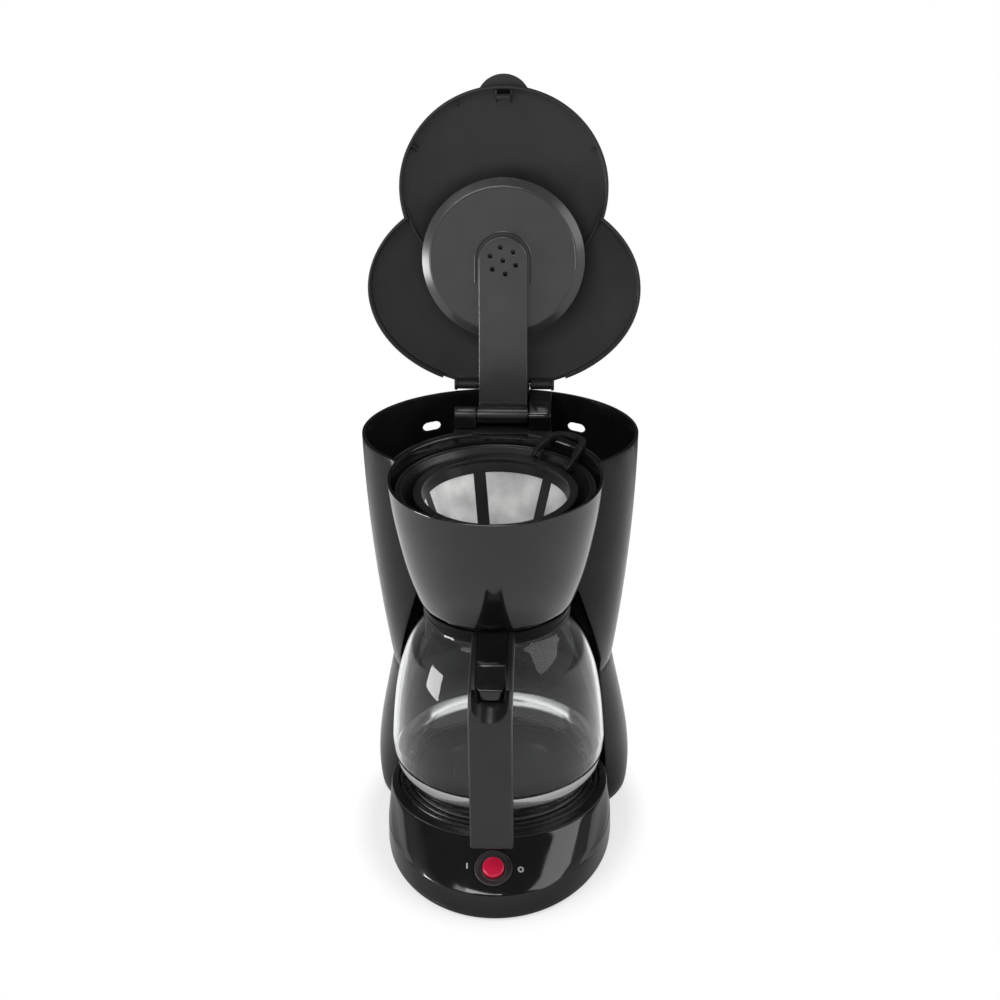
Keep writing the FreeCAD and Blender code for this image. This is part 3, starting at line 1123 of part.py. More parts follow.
def basket():
    rim_low, foot = "basket_rim_height - basket_rim_depth", "hood_low_height + wall + seam_gap"
    seat_low, stem_way = "seat_height - seat_depth", "stem_radius + stem_clearance"
    node("brew_basket", turned("brew_basket", [
        ("basket_rim_radius", "basket_rim_height"), ("basket_rim_radius", rim_low),
        ("basket_top_radius", rim_low), ("basket_low_radius", "basket_floor_height"),
        ("basket_low_radius", foot), ("basket_low_radius - basket_wall", foot),
        ("basket_low_radius - basket_wall", "seat_height"), ("spout_radius", seat_low),
        ("spout_radius", "spout_low"), ("spout_bore", "spout_low"), ("spout_bore", seat_low),
        (stem_way, seat_low), (stem_way, "seat_height"), ("spout_radius", "seat_height"),
        ("basket_low_radius - basket_wall * 2", "basket_floor_height + basket_wall / 2"),
        ("basket_top_radius - basket_wall", "basket_rim_height")]))
    foot_top, stem_top = "stem_low + stem_foot_height", "seat_height + seam_gap + seal_height"
    head, head_top = "stem_radius + stem_head", f"{stem_top} + stem_head"
    node("drip_valve", turned("drip_valve", [
        ("0", "stem_low"), ("stem_foot_radius", "stem_low"), ("stem_foot_radius", foot_top),
        ("stem_radius", foot_top), ("stem_radius", stem_top), (head, stem_top), (head, head_top),
        ("0", head_top)]))
    seal_low, seal_top = "seat_height + seam_gap", f"{stem_top} - pin_gap"
    node("valve_seal", turned("valve_seal", [
        ("stem_radius + pin_gap", seal_low), ("seal_radius", seal_low),
        ("seal_radius - seal_height / 2", seal_top), ("stem_radius + pin_gap", seal_top)]))
    node("valve_spring", spring("valve_spring", size("valve_spring_wire"), size("valve_spring_radius"),
                                size("stem_low") + size("stem_foot_height") + size("pin_gap"),
                                size("seat_height") - size("seat_depth") - size("pin_gap"), 3))


def filter_parts():
    high, low = "filter_rim_height - filter_rim_depth", "filter_floor_height - filter_floor_depth"

    def basket_cone(name, grow):
        return cone(name, f"filter_low_radius + {grow}", f"filter_top_radius + {grow}", low, high)

    skin = cut("filter_skin", basket_cone("filter_skin_outer", "mesh_thickness + filter_rib"),
               basket_cone("filter_skin_inner", "mesh_thickness"))
    ribs = []
    for index in range(int(size("filter_rib_count"))):
        angle = f"({index} * 360 / filter_rib_count + filter_rib_start)"
        rib = box(f"filter_rib_{index}", ("0", "0", low), ("filter_rim_radius", "filter_rib_width", high))
        half = "filter_rib_width / 2"
        ribs.append(place(rib, (f"{half} * sin({angle})", f"-{half} * cos({angle})", low),
                          Z_AXIS, angle))
    ribs = shared("filter_ribs", skin, joined("filter_rib_set", *ribs))
    rim_inside = "filter_top_radius - filter_rim_lip"
    rim = turned("filter_rim", [(rim_inside, high), ("filter_rim_radius", high),
                                ("filter_rim_radius", "filter_rim_height"),
                                (rim_inside, "filter_rim_height")])
    inside, outside = "filter_low_radius - filter_foot_width", "filter_low_radius + filter_rib"
    floor_top = "filter_floor_height - mesh_gap"
    floor = turned("filter_floor", [("0", low), (outside, low), (outside, floor_top), ("0", floor_top)])
    foot_top = f"{low} - mesh_gap"
    node("filter_foot", turned("filter_foot", [
        (inside, "filter_foot_low"), ("filter_low_radius", "filter_foot_low"),
        ("filter_low_radius", foot_top), (inside, foot_top)]))
    pin = ("handle_pin_reach", "handle_pin_height")
    lugs = []
    for index, side in enumerate(("-1", "1")):
        middle = f"{side} * (handle_leg_inside - lug_gap - lug_half_width)"
        block = box(f"lug_block_{index}",
                    (f"{middle} - lug_half_width", "filter_rim_radius - lug_half_width", high),
                    (f"{middle} + lug_half_width", "handle_pin_reach + lug_reach",
                     "handle_pin_height + lug_reach"))
        length = "(handle_half_width - handle_leg_inside + lug_half_width * 2)"
        start = "-handle_half_width" if side == "-1" else f"handle_half_width - {length}"
        stub = cylinder(f"lug_pin_{index}", "handle_pin_radius", length, (start, *pin), "x")
        lugs.append(joined(f"handle_lug_{index}", block, stub))
    lugs = place(joined("handle_lugs", *lugs), ("0", "0", "0"), Z_AXIS, "-handle_azimuth")
    node("filter_frame", joined("filter_frame", ribs, rim, floor, lugs))

    node("filter_mesh", turned("filter_mesh", [
        ("filter_low_radius", "filter_floor_height"),
        ("filter_low_radius + mesh_thickness", "filter_floor_height"),
        ("filter_top_radius + mesh_thickness - mesh_gap", f"{high} - mesh_gap"),
        ("filter_top_radius - mesh_gap", f"{high} - mesh_gap")]))

    top, inner_edge = "over_rim + handle_thickness", "hood_rim_radius - wall"
    loop = prism("handle_blank", [
        ("handle_pin_reach - handle_thickness / 2", "handle_pin_height"),
        ("handle_pin_reach + handle_thickness", "handle_pin_height"),
        ("handle_pin_reach + handle_thickness", "basket_rim_height + handle_clearance"),
        (f"{inner_edge} - handle_clearance", "over_rim"), ("handle_reach", "over_rim"),
        ("handle_reach", top), (f"{inner_edge} - handle_thickness * 1.5", top),
        ("handle_pin_reach - handle_thickness / 2", "handle_pin_height + handle_barrel")],
        "handle_half_width * 2")
    barrel = cylinder("handle_barrels", "handle_barrel", "handle_half_width * 2",
                      ("-handle_half_width", *pin), "x")
    gap = box("handle_gap", ("-handle_leg_inside", "0", "0"),
              ("handle_leg_inside", "handle_eye_start", "rim_height * 2"))
    eye = box("handle_eye", ("-handle_eye_half_width", "0", "0"),
              ("handle_eye_half_width", "handle_reach - handle_bar", "rim_height * 2"))
    bore = cylinder("handle_bore", "handle_pin_radius + pin_gap", "handle_half_width * 4",
                    ("-handle_half_width * 2", *pin), "x")
    handle = cut("filter_handle", joined("handle_loop", loop, barrel), gap, eye, bore)
    node("filter_handle", place(handle, ("0", "0", "0"), Z_AXIS, "-handle_azimuth"))


# ---------------------------------------------------------------- carafe

def carafe():
    levels = [("glass_low", "glass_foot_radius"), ("glass_heel_height", "glass_heel_radius"),
              ("glass_bulge_height", "glass_bulge_radius"), ("glass_upper_height", "glass_upper_radius"),
              ("glass_throat_height", "glass_throat_radius"), ("glass_neck_height", "glass_neck_radius")]
    outer = loft("glass_outer", [(height, radius, radius, "0") for height, radius in levels])
    neck = cylinder("glass_neck", "glass_neck_radius", "glass_rim_height - glass_neck_height",
                    ("0", "0", "glass_neck_height"))
    levels[0] = ("glass_low + glass_wall", "glass_foot_radius - glass_foot_inset")
    inner = loft("glass_room", [(height, f"{radius} - glass_wall", f"{radius} - glass_wall", "0")
                                for height, radius in levels])
    throat = cylinder("glass_throat", "glass_neck_radius - glass_wall", "glass_rim_height",
                      ("0", "0", "glass_neck_height"))
    node("carafe_glass", cut("carafe_glass", joined("glass_solid", outer, neck), inner, throat))

    node("carafe_collar", turned("carafe_collar", [
        ("collar_bore", "collar_low"), ("collar_radius - collar_edge", "collar_low"),
        ("collar_radius", "collar_low + collar_edge"), ("collar_radius", "collar_top - collar_edge"),
        ("collar_radius - collar_edge", "collar_top"), ("collar_bore", "collar_top")]))


def carafe_lid():
    plug, skirt = "glass_neck_radius - glass_wall - jug_plug_gap", "glass_neck_height + glass_wall"
    room, floor = "glass_neck_radius - glass_wall * 2 - jug_plug_gap", "jug_lid_top - jug_lid_depth"
    edge = "glass_neck_radius - collar_gap"
    disc = turned("jug_lid_disc", [
        ("jug_lid_hole", floor), (room, floor), (room, skirt), (plug, skirt), (plug, "jug_lid_low"),
        (edge, "jug_lid_low"), (edge, "jug_lid_top - jug_lid_edge"),
        (f"{edge} - jug_lid_edge", "jug_lid_top"), ("jug_lid_hole + jug_lid_hole", "jug_lid_top"),
        ("jug_lid_hole", "jug_lid_top - jug_lid_dish")])
    pin = ("-jug_pin_reach", "lever_top - jug_pin_radius")
    lugs = []
    for index, side in enumerate(("-1", "1")):
        middle = f"{side} * jug_lug_x"
        lugs.append(box(f"jug_lug_block_{index}",
                        (f"{middle} - jug_lug_half_width", "-jug_pin_reach - jug_lug_half_depth",
                         "jug_lid_top - jug_lid_edge"),
                        (f"{middle} + jug_lug_half_width", "-jug_pin_reach + jug_lug_half_depth",
                         "lever_top")))
    hole = cylinder("jug_lug_bore", "jug_pin_radius + pin_gap", "jug_lug_x * 4",
                    ("-jug_lug_x * 2", *pin), "x")
    node("carafe_lid", cut("carafe_lid", joined("jug_lid", disc, *lugs), hole))
    half = "(jug_lug_x + jug_lug_half_width)"
    node("carafe_lid_pin", cylinder("carafe_lid_pin", "jug_pin_radius", f"{half} * 2",
                                    (f"-{half}", *pin), "x"))

    start, low = "-collar_radius - lever_start", "lever_top - lever_thickness"
    blade = prism("lever_blade", [
        (start, low), (start, "lever_top"), ("-collar_radius - lever_bend", "lever_top"),
        ("lever_end_y + lever_nose", "lever_end_z + lever_nose * 1.5"),
        ("lever_end_y", "lever_end_z + lever_thickness"), ("lever_end_y", "lever_end_z"),
        ("-collar_radius - lever_bend", low)], "lever_half_width * 2")
    tongue = box("lever_tongue", ("-lever_tongue_half_width", start, low),
                 ("lever_tongue_half_width", "-jug_pin_reach + jug_lug_half_depth", "lever_top"))
    bore = cylinder("lever_bore", "jug_pin_radius + pin_gap", "jug_lug_x * 4",
                    ("-jug_lug_x * 2", *pin), "x")
    node("lid_lever", cut("lid_lever", joined("lever", blade, tongue), bore))


def carafe_handle():
    front, back, root = "-grip_reach", "-grip_reach + grip_depth", "-collar_radius + 1"
    neck = "-collar_radius - handle_neck"
    blank = prism("handle_solid", [
        (root, "handle_root_low"), (root, "handle_root_height"),
        (neck, "handle_root_height - collar_edge"),
        (f"{front} + grip_front_bevel", "grip_shoulder + grip_front_rise"),
        (f"{front} + grip_corner", "grip_shoulder + grip_corner_rise"),
        (front, "grip_shoulder - grip_corner"), (front, "grip_low + grip_edge"),
        (f"{front} + grip_edge", "grip_low"), (f"{back} - grip_edge", "grip_low"),
        (back, "grip_low + grip_edge"), (back, "grip_shoulder - grip_bend_low"),
        (f"{back} + grip_bend_depth", "grip_shoulder - grip_edge"),
        (neck, "handle_root_low - handle_neck * 0.4"),
        ("-collar_radius - handle_neck / 2", "handle_root_low")], "grip_half_width * 2")
    at_root, at_end = "lever_top - lever_thickness - seam_gap * 2", "lever_end_z - seam_gap"
    end = "lever_end_y - lever_nose / 2"
    channel = prism("lever_channel", [
        (root, at_root), ("-collar_radius - lever_bend", at_root), ("lever_end_y", at_end), (end, at_end),
        (end, "lever_top * 1.1"), (root, "lever_top * 1.1")], "(lever_half_width + seam_gap) * 2")
    seat = cylinder("handle_seat", "collar_radius + pin_gap * 2", FAR, ("0", "0", "glass_low"))
    height = "(collar_low + collar_top) / 2 - collar_edge"
    way = cylinder("handle_screw_way", "handle_screw_radius + pin_gap", "handle_screw_length + 2",
                   ("0", "-collar_radius - handle_screw_length - 2", height), "y")
    node("carafe_handle", cut("carafe_handle", blank, channel, seat, way))
    node("handle_screw", cylinder("handle_screw", "handle_screw_radius", "handle_screw_length",
                                  ("0", "-collar_radius - handle_screw_length - 1", height), "y"))


# ---------------------------------------------------------------- wiring

def wiring():
    """Two sleeved leads along the bottom plate, from the switch to the cord's gland."""
    level, side, end = size("lead_level"), size("lead_x"), size("gland_height")
    gland = size("belly_rear") - size("gland_depth")

    middle, inner, last = size("switch_y"), size("lead_start_x"), size("lead_end_x")
    stop = gland - size("clamp_inset")

    def lead(name, sign):
        return tube(name, [(sign * inner, middle + size("lead_start"), level),
                           (sign * inner, middle + size("lead_fan_start"), level),
                           (sign * side, middle + size("lead_fan_end"), level),
                           (sign * side, size("lead_turn_y"), level),
                           (sign * last, stop - size("lead_end_run"), end),
                           (sign * last, stop, end)],
                    size("lead_bend"), size("lead_radius"))

    node("mains_leads", group("mains_leads", lead("lead_left", -1), lead("lead_right", 1)))


# ---------------------------------------------------------------- build, check and write

def check_and_write():
    doc.recompute()
    failed = [thing.Name for thing in doc.Objects
              if "Invalid" in thing.State or "Error" in thing.State]
    bad = [thing.Label for thing in NODES if thing.Shape.isNull() or not thing.Shape.isValid()]
    if failed or bad:
        raise RuntimeError(f"objects that failed: {failed}; sub-parts that are not valid: {bad}")
    os.makedirs("parts", exist_ok=True)
    for thing in NODES:
        print(f"{thing.Label}: {len(thing.Shape.Solids)} solids, {thing.Shape.Volume:.0f} mm3")
        thing.Shape.exportStep(f"parts/{thing.Label}.step")


fill_sheet()
base()
base_plate()
heater()
lower_housing()
tank()
hood()
hinge_parts()
plumbing()
switch()
spray_arm()
lid()
basket()
filter_parts()
carafe()
carafe_lid()
carafe_handle()
wiring()
check_and_write()
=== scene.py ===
from math import atan2, cos, pi, radians, sin, sqrt, tan

import bmesh
import bpy
from mathutils import Matrix, Vector


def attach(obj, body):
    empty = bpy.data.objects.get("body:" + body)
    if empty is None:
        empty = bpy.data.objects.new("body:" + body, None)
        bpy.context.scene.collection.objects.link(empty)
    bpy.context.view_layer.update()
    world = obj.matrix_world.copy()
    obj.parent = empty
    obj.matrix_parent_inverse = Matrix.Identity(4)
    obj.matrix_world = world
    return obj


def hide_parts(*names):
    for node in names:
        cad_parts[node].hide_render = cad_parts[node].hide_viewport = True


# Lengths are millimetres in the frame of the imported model, and MM turns them into metres. Lamps,
# the world and distances in materials are in metres. The front faces -Y, +X is right, +Z is up.
MM = 0.001
SHARP = 30.0          # an edge that turns by more degrees is drawn sharp

# Where the moving parts turn and how they stand at rest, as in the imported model.
LID_AXIS, LID_TURN = (0, 149, 299), -100
ARM_AXIS, ARM_TURN = (0, 118, 287.5), -102
BAIL_PIN, BAIL_TURN = (57.5, 286.6), -42        # distance from the filter's axis, height
LEVER_PIN, LEVER_BORE = (-47, 200.4), 1.06      # y and z, radius
SLOPE_PLACE, SLOPE_TURN = (-98.5, 32.84), 33.32     # y and z of the switch on the control slope

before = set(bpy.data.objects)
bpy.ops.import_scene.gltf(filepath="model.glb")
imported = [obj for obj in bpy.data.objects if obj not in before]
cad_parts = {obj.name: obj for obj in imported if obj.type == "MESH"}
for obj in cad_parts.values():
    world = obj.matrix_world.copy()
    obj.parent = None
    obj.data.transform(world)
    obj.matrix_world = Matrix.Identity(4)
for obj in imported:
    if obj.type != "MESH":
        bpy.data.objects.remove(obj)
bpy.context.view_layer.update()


# ---------------------------------------------------------------- outlines

def arc(centre, radius, start, end, steps):
    """Points on an arc, angles in degrees."""
    turns = [radians(start + (end - start) * i / steps) for i in range(steps + 1)]
    return [(centre[0] + radius * cos(t), centre[1] + radius * sin(t)) for t in turns]


def circle(centre, radius, count):
    """The corners of a regular outline with so many sides."""
    return arc(centre, radius, 0, 360 - 360 / count, count - 1)


def fillet(corners, steps=6):
    """A closed outline whose corners (x, y, radius) are rounded."""
    narrow, wide = 0.01, 1.56       # half a corner's angle; beyond these it is left as it is
    share = 0.49                    # of a side that one rounding may use up
    points, count = [], len(corners)
    for i, corner in enumerate(corners):
        here = Vector(corner[:2])
        radius = corner[2] if len(corner) > 2 else 0
        before = Vector(corners[i - 1][:2]) - here
        after = Vector(corners[(i + 1) % count][:2]) - here
        half = before.angle(after, 0) / 2
        if radius <= 0 or half < narrow or half > wide:
            points.append(tuple(here))
            continue
        reach = min(radius / tan(half), before.length * share, after.length * share)
        radius = reach * tan(half)
        start = here + before.normalized() * reach
        end = here + after.normalized() * reach
        centre = here + (before.normalized() + after.normalized()).normalized() * radius / sin(half)
        low = atan2(start.y - centre.y, start.x - centre.x)
        high = atan2(end.y - centre.y, end.x - centre.x)
        turn = (high - low + pi) % (2 * pi) - pi
        for k in range(steps + 1):
            t = low + turn * k / steps
            points.append((centre.x + radius * cos(t), centre.y + radius * sin(t)))
    return points


def smooth_line(points, per=8):
    """A Catmull-Rom line through the points."""
    result = []
    for i in range(len(points) - 1):
        p1, p2 = Vector(points[i]), Vector(points[i + 1])
        p0 = Vector(points[i - 1]) if i else p1 * 2 - p2
        p3 = Vector(points[i + 2]) if i + 2 < len(points) else p2 * 2 - p1
        for k in range(per):
            t = k / per
            result.append(tuple(0.5 * ((2 * p1) + (p2 - p0) * t + (2 * p0 - 5 * p1 + 4 * p2 - p3) * t * t
                                       + (3 * p1 - p0 - 3 * p2 + p3) * t ** 3)))
    return result + [tuple(points[-1])]


# ---------------------------------------------------------------- meshes

def linked(name, data):
    """A new object in the scene."""
    obj = bpy.data.objects.new(name, data)
    bpy.context.scene.collection.objects.link(obj)
    return obj


def evaluated(obj):
    """The mesh that an object's modifiers or a curve's bevel make."""
    return bpy.data.meshes.new_from_object(obj.evaluated_get(bpy.context.evaluated_depsgraph_get()))


def moved(obj, matrix):
    obj.data.transform(matrix)
    return obj


def placement(place, angle=0, axis="X"):
    """A turn about an axis through the origin, and then a move to a place."""
    return Matrix.Translation(Vector(place) * MM) @ Matrix.Rotation(radians(angle), 4, axis)


def mesh(name, points, faces):
    """An object with its doubled points joined and its faces turned outwards."""
    data = bpy.data.meshes.new(name)
    data.from_pydata([(x * MM, y * MM, z * MM) for x, y, z in points], [], faces)
    build = bmesh.new()
    build.from_mesh(data)
    bmesh.ops.remove_doubles(build, verts=build.verts, dist=1e-7)
    bmesh.ops.recalc_face_normals(build, faces=build.faces)
    build.to_mesh(data)
    build.free()
    return linked(name, data)


def sheet_of_rows(name, rows, around=True, along=False, caps=False):
    """Quads between rows of points; around closes each row, along joins the last row to the first."""
    count = len(rows[0])
    points = [point for row in rows for point in row]
    faces = []
    for i in range(len(rows) if along else len(rows) - 1):
        a, b = i * count, ((i + 1) % len(rows)) * count
        for k in range(count if around else count - 1):
            n = (k + 1) % count
            faces.append((a + k, a + n, b + n, b + k))
    if caps:
        faces.append(tuple(range(count)))
        faces.append(tuple(range(len(points) - 1, len(points) - count - 1, -1)))
    return mesh(name, points, faces)


def revolve(name, profile, steps=160, closed=True):
    """A body turned about the upright axis from (radius, height) points."""
    rows = [[(r * cos(2 * pi * i / steps), r * sin(2 * pi * i / steps), z) for r, z in profile]
            for i in range(steps)]
    return sheet_of_rows(name, rows, around=closed, along=True)


def prism(name, outline, low, high, axis="x"):
    """An outline drawn in y and z and extruded along x, or drawn in x and y and extruded along z."""
    def at(point, level):
        return (level, *point) if axis == "x" else (*point, level)
    rows = [[at(point, level) for point in outline] for level in (low, high)]
    return sheet_of_rows(name, rows, caps=True)


def rod(name, start, end, radius, steps=32, edge=0.4):
    """A round rod with broken edges."""
    start, end = Vector(start), Vector(end)
    length = (end - start).length
    body = revolve(name, [(0, 0), (radius - edge, 0), (radius, edge), (radius, length - edge),
                          (radius - edge, length), (0, length)], steps, closed=False)
    turn = (end - start).to_track_quat("Z", "Y").to_matrix().to_4x4()
    return moved(body, Matrix.Translation(start * MM) @ turn)


def piped(name, points, radius, cyclic=False, steps=4):
    """A round bead along a line of points."""
    curve = bpy.data.curves.new(name, "CURVE")
    curve.dimensions = "3D"
    line = curve.splines.new("POLY")
    line.points.add(len(points) - 1)
    for slot, (x, y, z) in zip(line.points, points):
        slot.co = (x * MM, y * MM, z * MM, 1)
    line.use_cyclic_u = cyclic
    curve.bevel_depth = radius * MM
    curve.bevel_resolution = steps
    curve.use_fill_caps = True
    shape = linked(name, curve)
    data = evaluated(shape)
    bpy.data.objects.remove(shape)
    return linked(name, data)


def merged(name, *parts):
    """One object from several; the parts are used up."""
    build = bmesh.new()
    for part in parts:
        build.from_mesh(part.data)
        bpy.data.objects.remove(part)
    data = bpy.data.meshes.new(name)
    build.to_mesh(data)
    build.free()
    return linked(name, data)


def baked(obj):
    """Apply an object's modifiers."""
    bpy.context.view_layer.update()
    data = evaluated(obj)
    obj.modifiers.clear()
    obj.data = data
    return obj


def combined(obj, tools, operation="DIFFERENCE"):
    """Cut tools from a body, or join or intersect it with them; the tools are used up."""
    for tool in tools:
        step = obj.modifiers.new("shape", "BOOLEAN")
        step.operation = operation
        step.solver = "EXACT"
        step.object = tool
        baked(obj)
        bpy.data.objects.remove(tool)
    return obj


def bevelled(obj, width, segments=3, angle=35.0):
    """Round the edges that turn by more than an angle in degrees."""
    step = obj.modifiers.new("edges", "BEVEL")
    step.width = width * MM
    step.segments = segments
    step.limit_method = "ANGLE"
    step.angle_limit = radians(angle)
    step.use_clamp_overlap = True
    return baked(obj)


def cad_copy(name, node, width):
    """A CAD node's shape with its edges broken."""
    obj = linked(name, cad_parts[node].data.copy())
    build = bmesh.new()
    build.from_mesh(obj.data)
    bmesh.ops.remove_doubles(build, verts=build.verts, dist=2e-6)
    bmesh.ops.dissolve_limit(build, angle_limit=radians(0.5), verts=build.verts, edges=build.edges)
    build.to_mesh(obj.data)
    build.free()
    if obj.data.has_custom_normals:
        obj.data.attributes.remove(obj.data.attributes["custom_normal"])
    return bevelled(obj, width, segments=2, angle=32)


def piece(obj, body, surface, replaces=(), angle=SHARP):
    """Finish a piece: shading, material, the body it moves with and the nodes it stands for."""
    obj.data.materials.clear()
    obj.data.materials.append(MATERIALS[surface])
    obj.data.shade_smooth()
    obj.data.set_sharp_from_angle(angle=radians(angle))
    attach(obj, body)
    if replaces:
        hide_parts(*replaces)
    return obj


# ---------------------------------------------------------------- materials

def wire(tree, source, target):
    tree.links.new(source, target)


def add(tree, kind, inputs=None, **settings):
    """A new shader node with its settings and the values of its inputs."""
    made = tree.nodes.new("ShaderNode" + kind)
    for name, value in settings.items():
        setattr(made, name, value)
    for name, value in (inputs or {}).items():
        made.inputs[name].default_value = value
    return made


def position(tree, space="Object"):
    """Where a point lies in its object; in a world, with Generated, the way a ray goes."""
    return add(tree, "TexCoord").outputs[space]


def coordinate(tree, place, axis):
    """One coordinate of a place."""
    split = add(tree, "SeparateXYZ")
    wire(tree, place, split.inputs[0])
    return split.outputs[axis]


def span(tree, source, low, high, to_low, to_high):
    """A number between low and high spread over another range."""
    spread = add(tree, "MapRange", {"From Min": low, "From Max": high, "To Min": to_low, "To Max": to_high})
    wire(tree, source, spread.inputs["Value"])
    return spread.outputs["Result"]


def maths(tree, operation, first, second):
    """Two numbers of the node tree worked into one."""
    step = add(tree, "Math", operation=operation)
    wire(tree, first, step.inputs[0])
    wire(tree, second, step.inputs[1])
    return step.outputs[0]


def vector_maths(tree, operation, source, value=None):
    """A vector of the node tree worked on; LENGTH takes no value and gives a number."""
    step = add(tree, "VectorMath", operation=operation)
    wire(tree, source, step.inputs[0])
    if value:
        step.inputs[1].default_value = value
    return step.outputs["Value" if operation == "LENGTH" else "Vector"]


def mixed(tree, share, first, second):
    """Two shaders mixed; a share of 1 gives the second."""
    blend = add(tree, "MixShader")
    wire(tree, share, blend.inputs["Fac"])
    wire(tree, first.outputs[0], blend.inputs[1])
    wire(tree, second.outputs[0], blend.inputs[2])
    return blend


def graded(tree, source, stops):
    """A grey ramp with a (position, level) for each stop."""
    ramp = add(tree, "ValToRGB")
    elements = ramp.color_ramp.elements
    ends = (stops[0], stops[-1])
    for stop, (place, level) in zip(elements, ends):
        stop.position = place
        stop.color = (level, level, level, 1)
    for place, level in stops[1:-1]:
        elements.new(place).color = (level, level, level, 1)
    wire(tree, source, ramp.inputs["Fac"])
    return ramp.outputs["Color"]


def noise(tree, place, scale, detail, low, high):
    """Noise between two values, as one number over the surface."""
    cloud = add(tree, "TexNoise", {"Scale": scale, "Detail": detail})
    wire(tree, place, cloud.inputs["Vector"])
    least, most = 0.3, 0.7          # nearly all of the cloud's values lie between these
    return span(tree, cloud.outputs["Fac"], least, most, low, high)


def bumped(tree, height, strength, distance):
    """A normal roughened by a height."""
    bump = add(tree, "Bump", {"Strength": strength, "Distance": distance})
    wire(tree, height, bump.inputs["Height"])
    return bump


def new_material(name):
    """A material, its node tree and its shader."""
    material = bpy.data.materials.new(name)
    material.use_nodes = True
    return material, material.node_tree, material.node_tree.nodes["Principled BSDF"]


def surface(name, dark, light, rough, grain, depth, metallic=0.0, edge=0.0, patch=40.0, level=0.5):
    """A moulded or metal surface: colour and gloss vary softly and a fine grain stands in its normal.
    rough is the range of roughness, grain and patch are scales of noise, depth is the grain's
    strength, edge the radius in millimetres that edges are softened by, level the specular level."""
    patch_detail, gloss_scale, gloss_detail, grain_detail, grain_height = 4, 2.3, 3, 2, 0.0002
    material, tree, shader = new_material(name)
    place = position(tree)
    tone = add(tree, "Mix", {"A": (*dark, 1), "B": (*light, 1)}, data_type="RGBA")
    wire(tree, noise(tree, place, patch, patch_detail, 0, 1), tone.inputs["Factor"])
    wire(tree, tone.outputs["Result"], shader.inputs["Base Color"])
    wire(tree, noise(tree, place, patch * gloss_scale, gloss_detail, *rough), shader.inputs["Roughness"])
    shader.inputs["Metallic"].default_value = metallic
    shader.inputs["Specular IOR Level"].default_value = level
    bump = bumped(tree, noise(tree, place, grain, grain_detail, 0, 1), depth, grain_height)
    if edge:
        round_off = add(tree, "Bevel", {"Radius": edge * MM}, samples=4)
        wire(tree, round_off.outputs["Normal"], bump.inputs["Normal"])
    wire(tree, bump.outputs["Normal"], shader.inputs["Normal"])
    return material


def glass_surface():
    """Clear glass; its thick heel, a band low on the wall, mirrors what lies in front."""
    material, tree, shader = new_material("clear_glass")
    shader.inputs["Base Color"].default_value = (0.97, 0.985, 0.98, 1)
    shader.inputs["Transmission Weight"].default_value = 1.0
    shader.inputs["IOR"].default_value = 1.33
    place = position(tree)
    wire(tree, noise(tree, place, 30, 3, 0.0, 0.02), shader.inputs["Roughness"])
    bump = bumped(tree, noise(tree, place, 18, 1, 0, 1), 0.05, 0.002)
    wire(tree, bump.outputs["Normal"], shader.inputs["Normal"])
    decimetres = add(tree, "Math", {1: 10.0}, operation="MULTIPLY")
    wire(tree, coordinate(tree, place, "Z"), decimetres.inputs[0])
    heel = [(0.645, 0), (0.665, 0.9), (0.75, 0.9), (0.755, 0)]          # heights in decimetres
    band = graded(tree, decimetres.outputs[0], heel)
    mirror = add(tree, "BsdfAnisotropic", {"Color": (0.95, 0.95, 0.95, 1), "Roughness": 0.12})
    blend = mixed(tree, band, shader, mirror)
    wire(tree, blend.outputs[0], tree.nodes["Material Output"].inputs["Surface"])
    return material


def mesh_surface():
    """Fine nylon mesh: pale and cloudy, with its threads crossing in the normal."""
    material = surface("nylon_mesh", (0.40, 0.40, 0.40), (0.90, 0.90, 0.89), (0.35, 0.55), 2500, 0.1,
                       patch=38.0)
    tree = material.node_tree
    grain = [node for node in tree.nodes if node.type == "BUMP"][0]
    weave = add(tree, "TexWave", {"Scale": 420}, bands_direction="Z")
    wire(tree, position(tree), weave.inputs["Vector"])
    threads = bumped(tree, weave.outputs["Fac"], 0.25, 0.0003)
    wire(tree, grain.outputs["Normal"], threads.inputs["Normal"])
    wire(tree, threads.outputs["Normal"], tree.nodes["Principled BSDF"].inputs["Normal"])
    return material


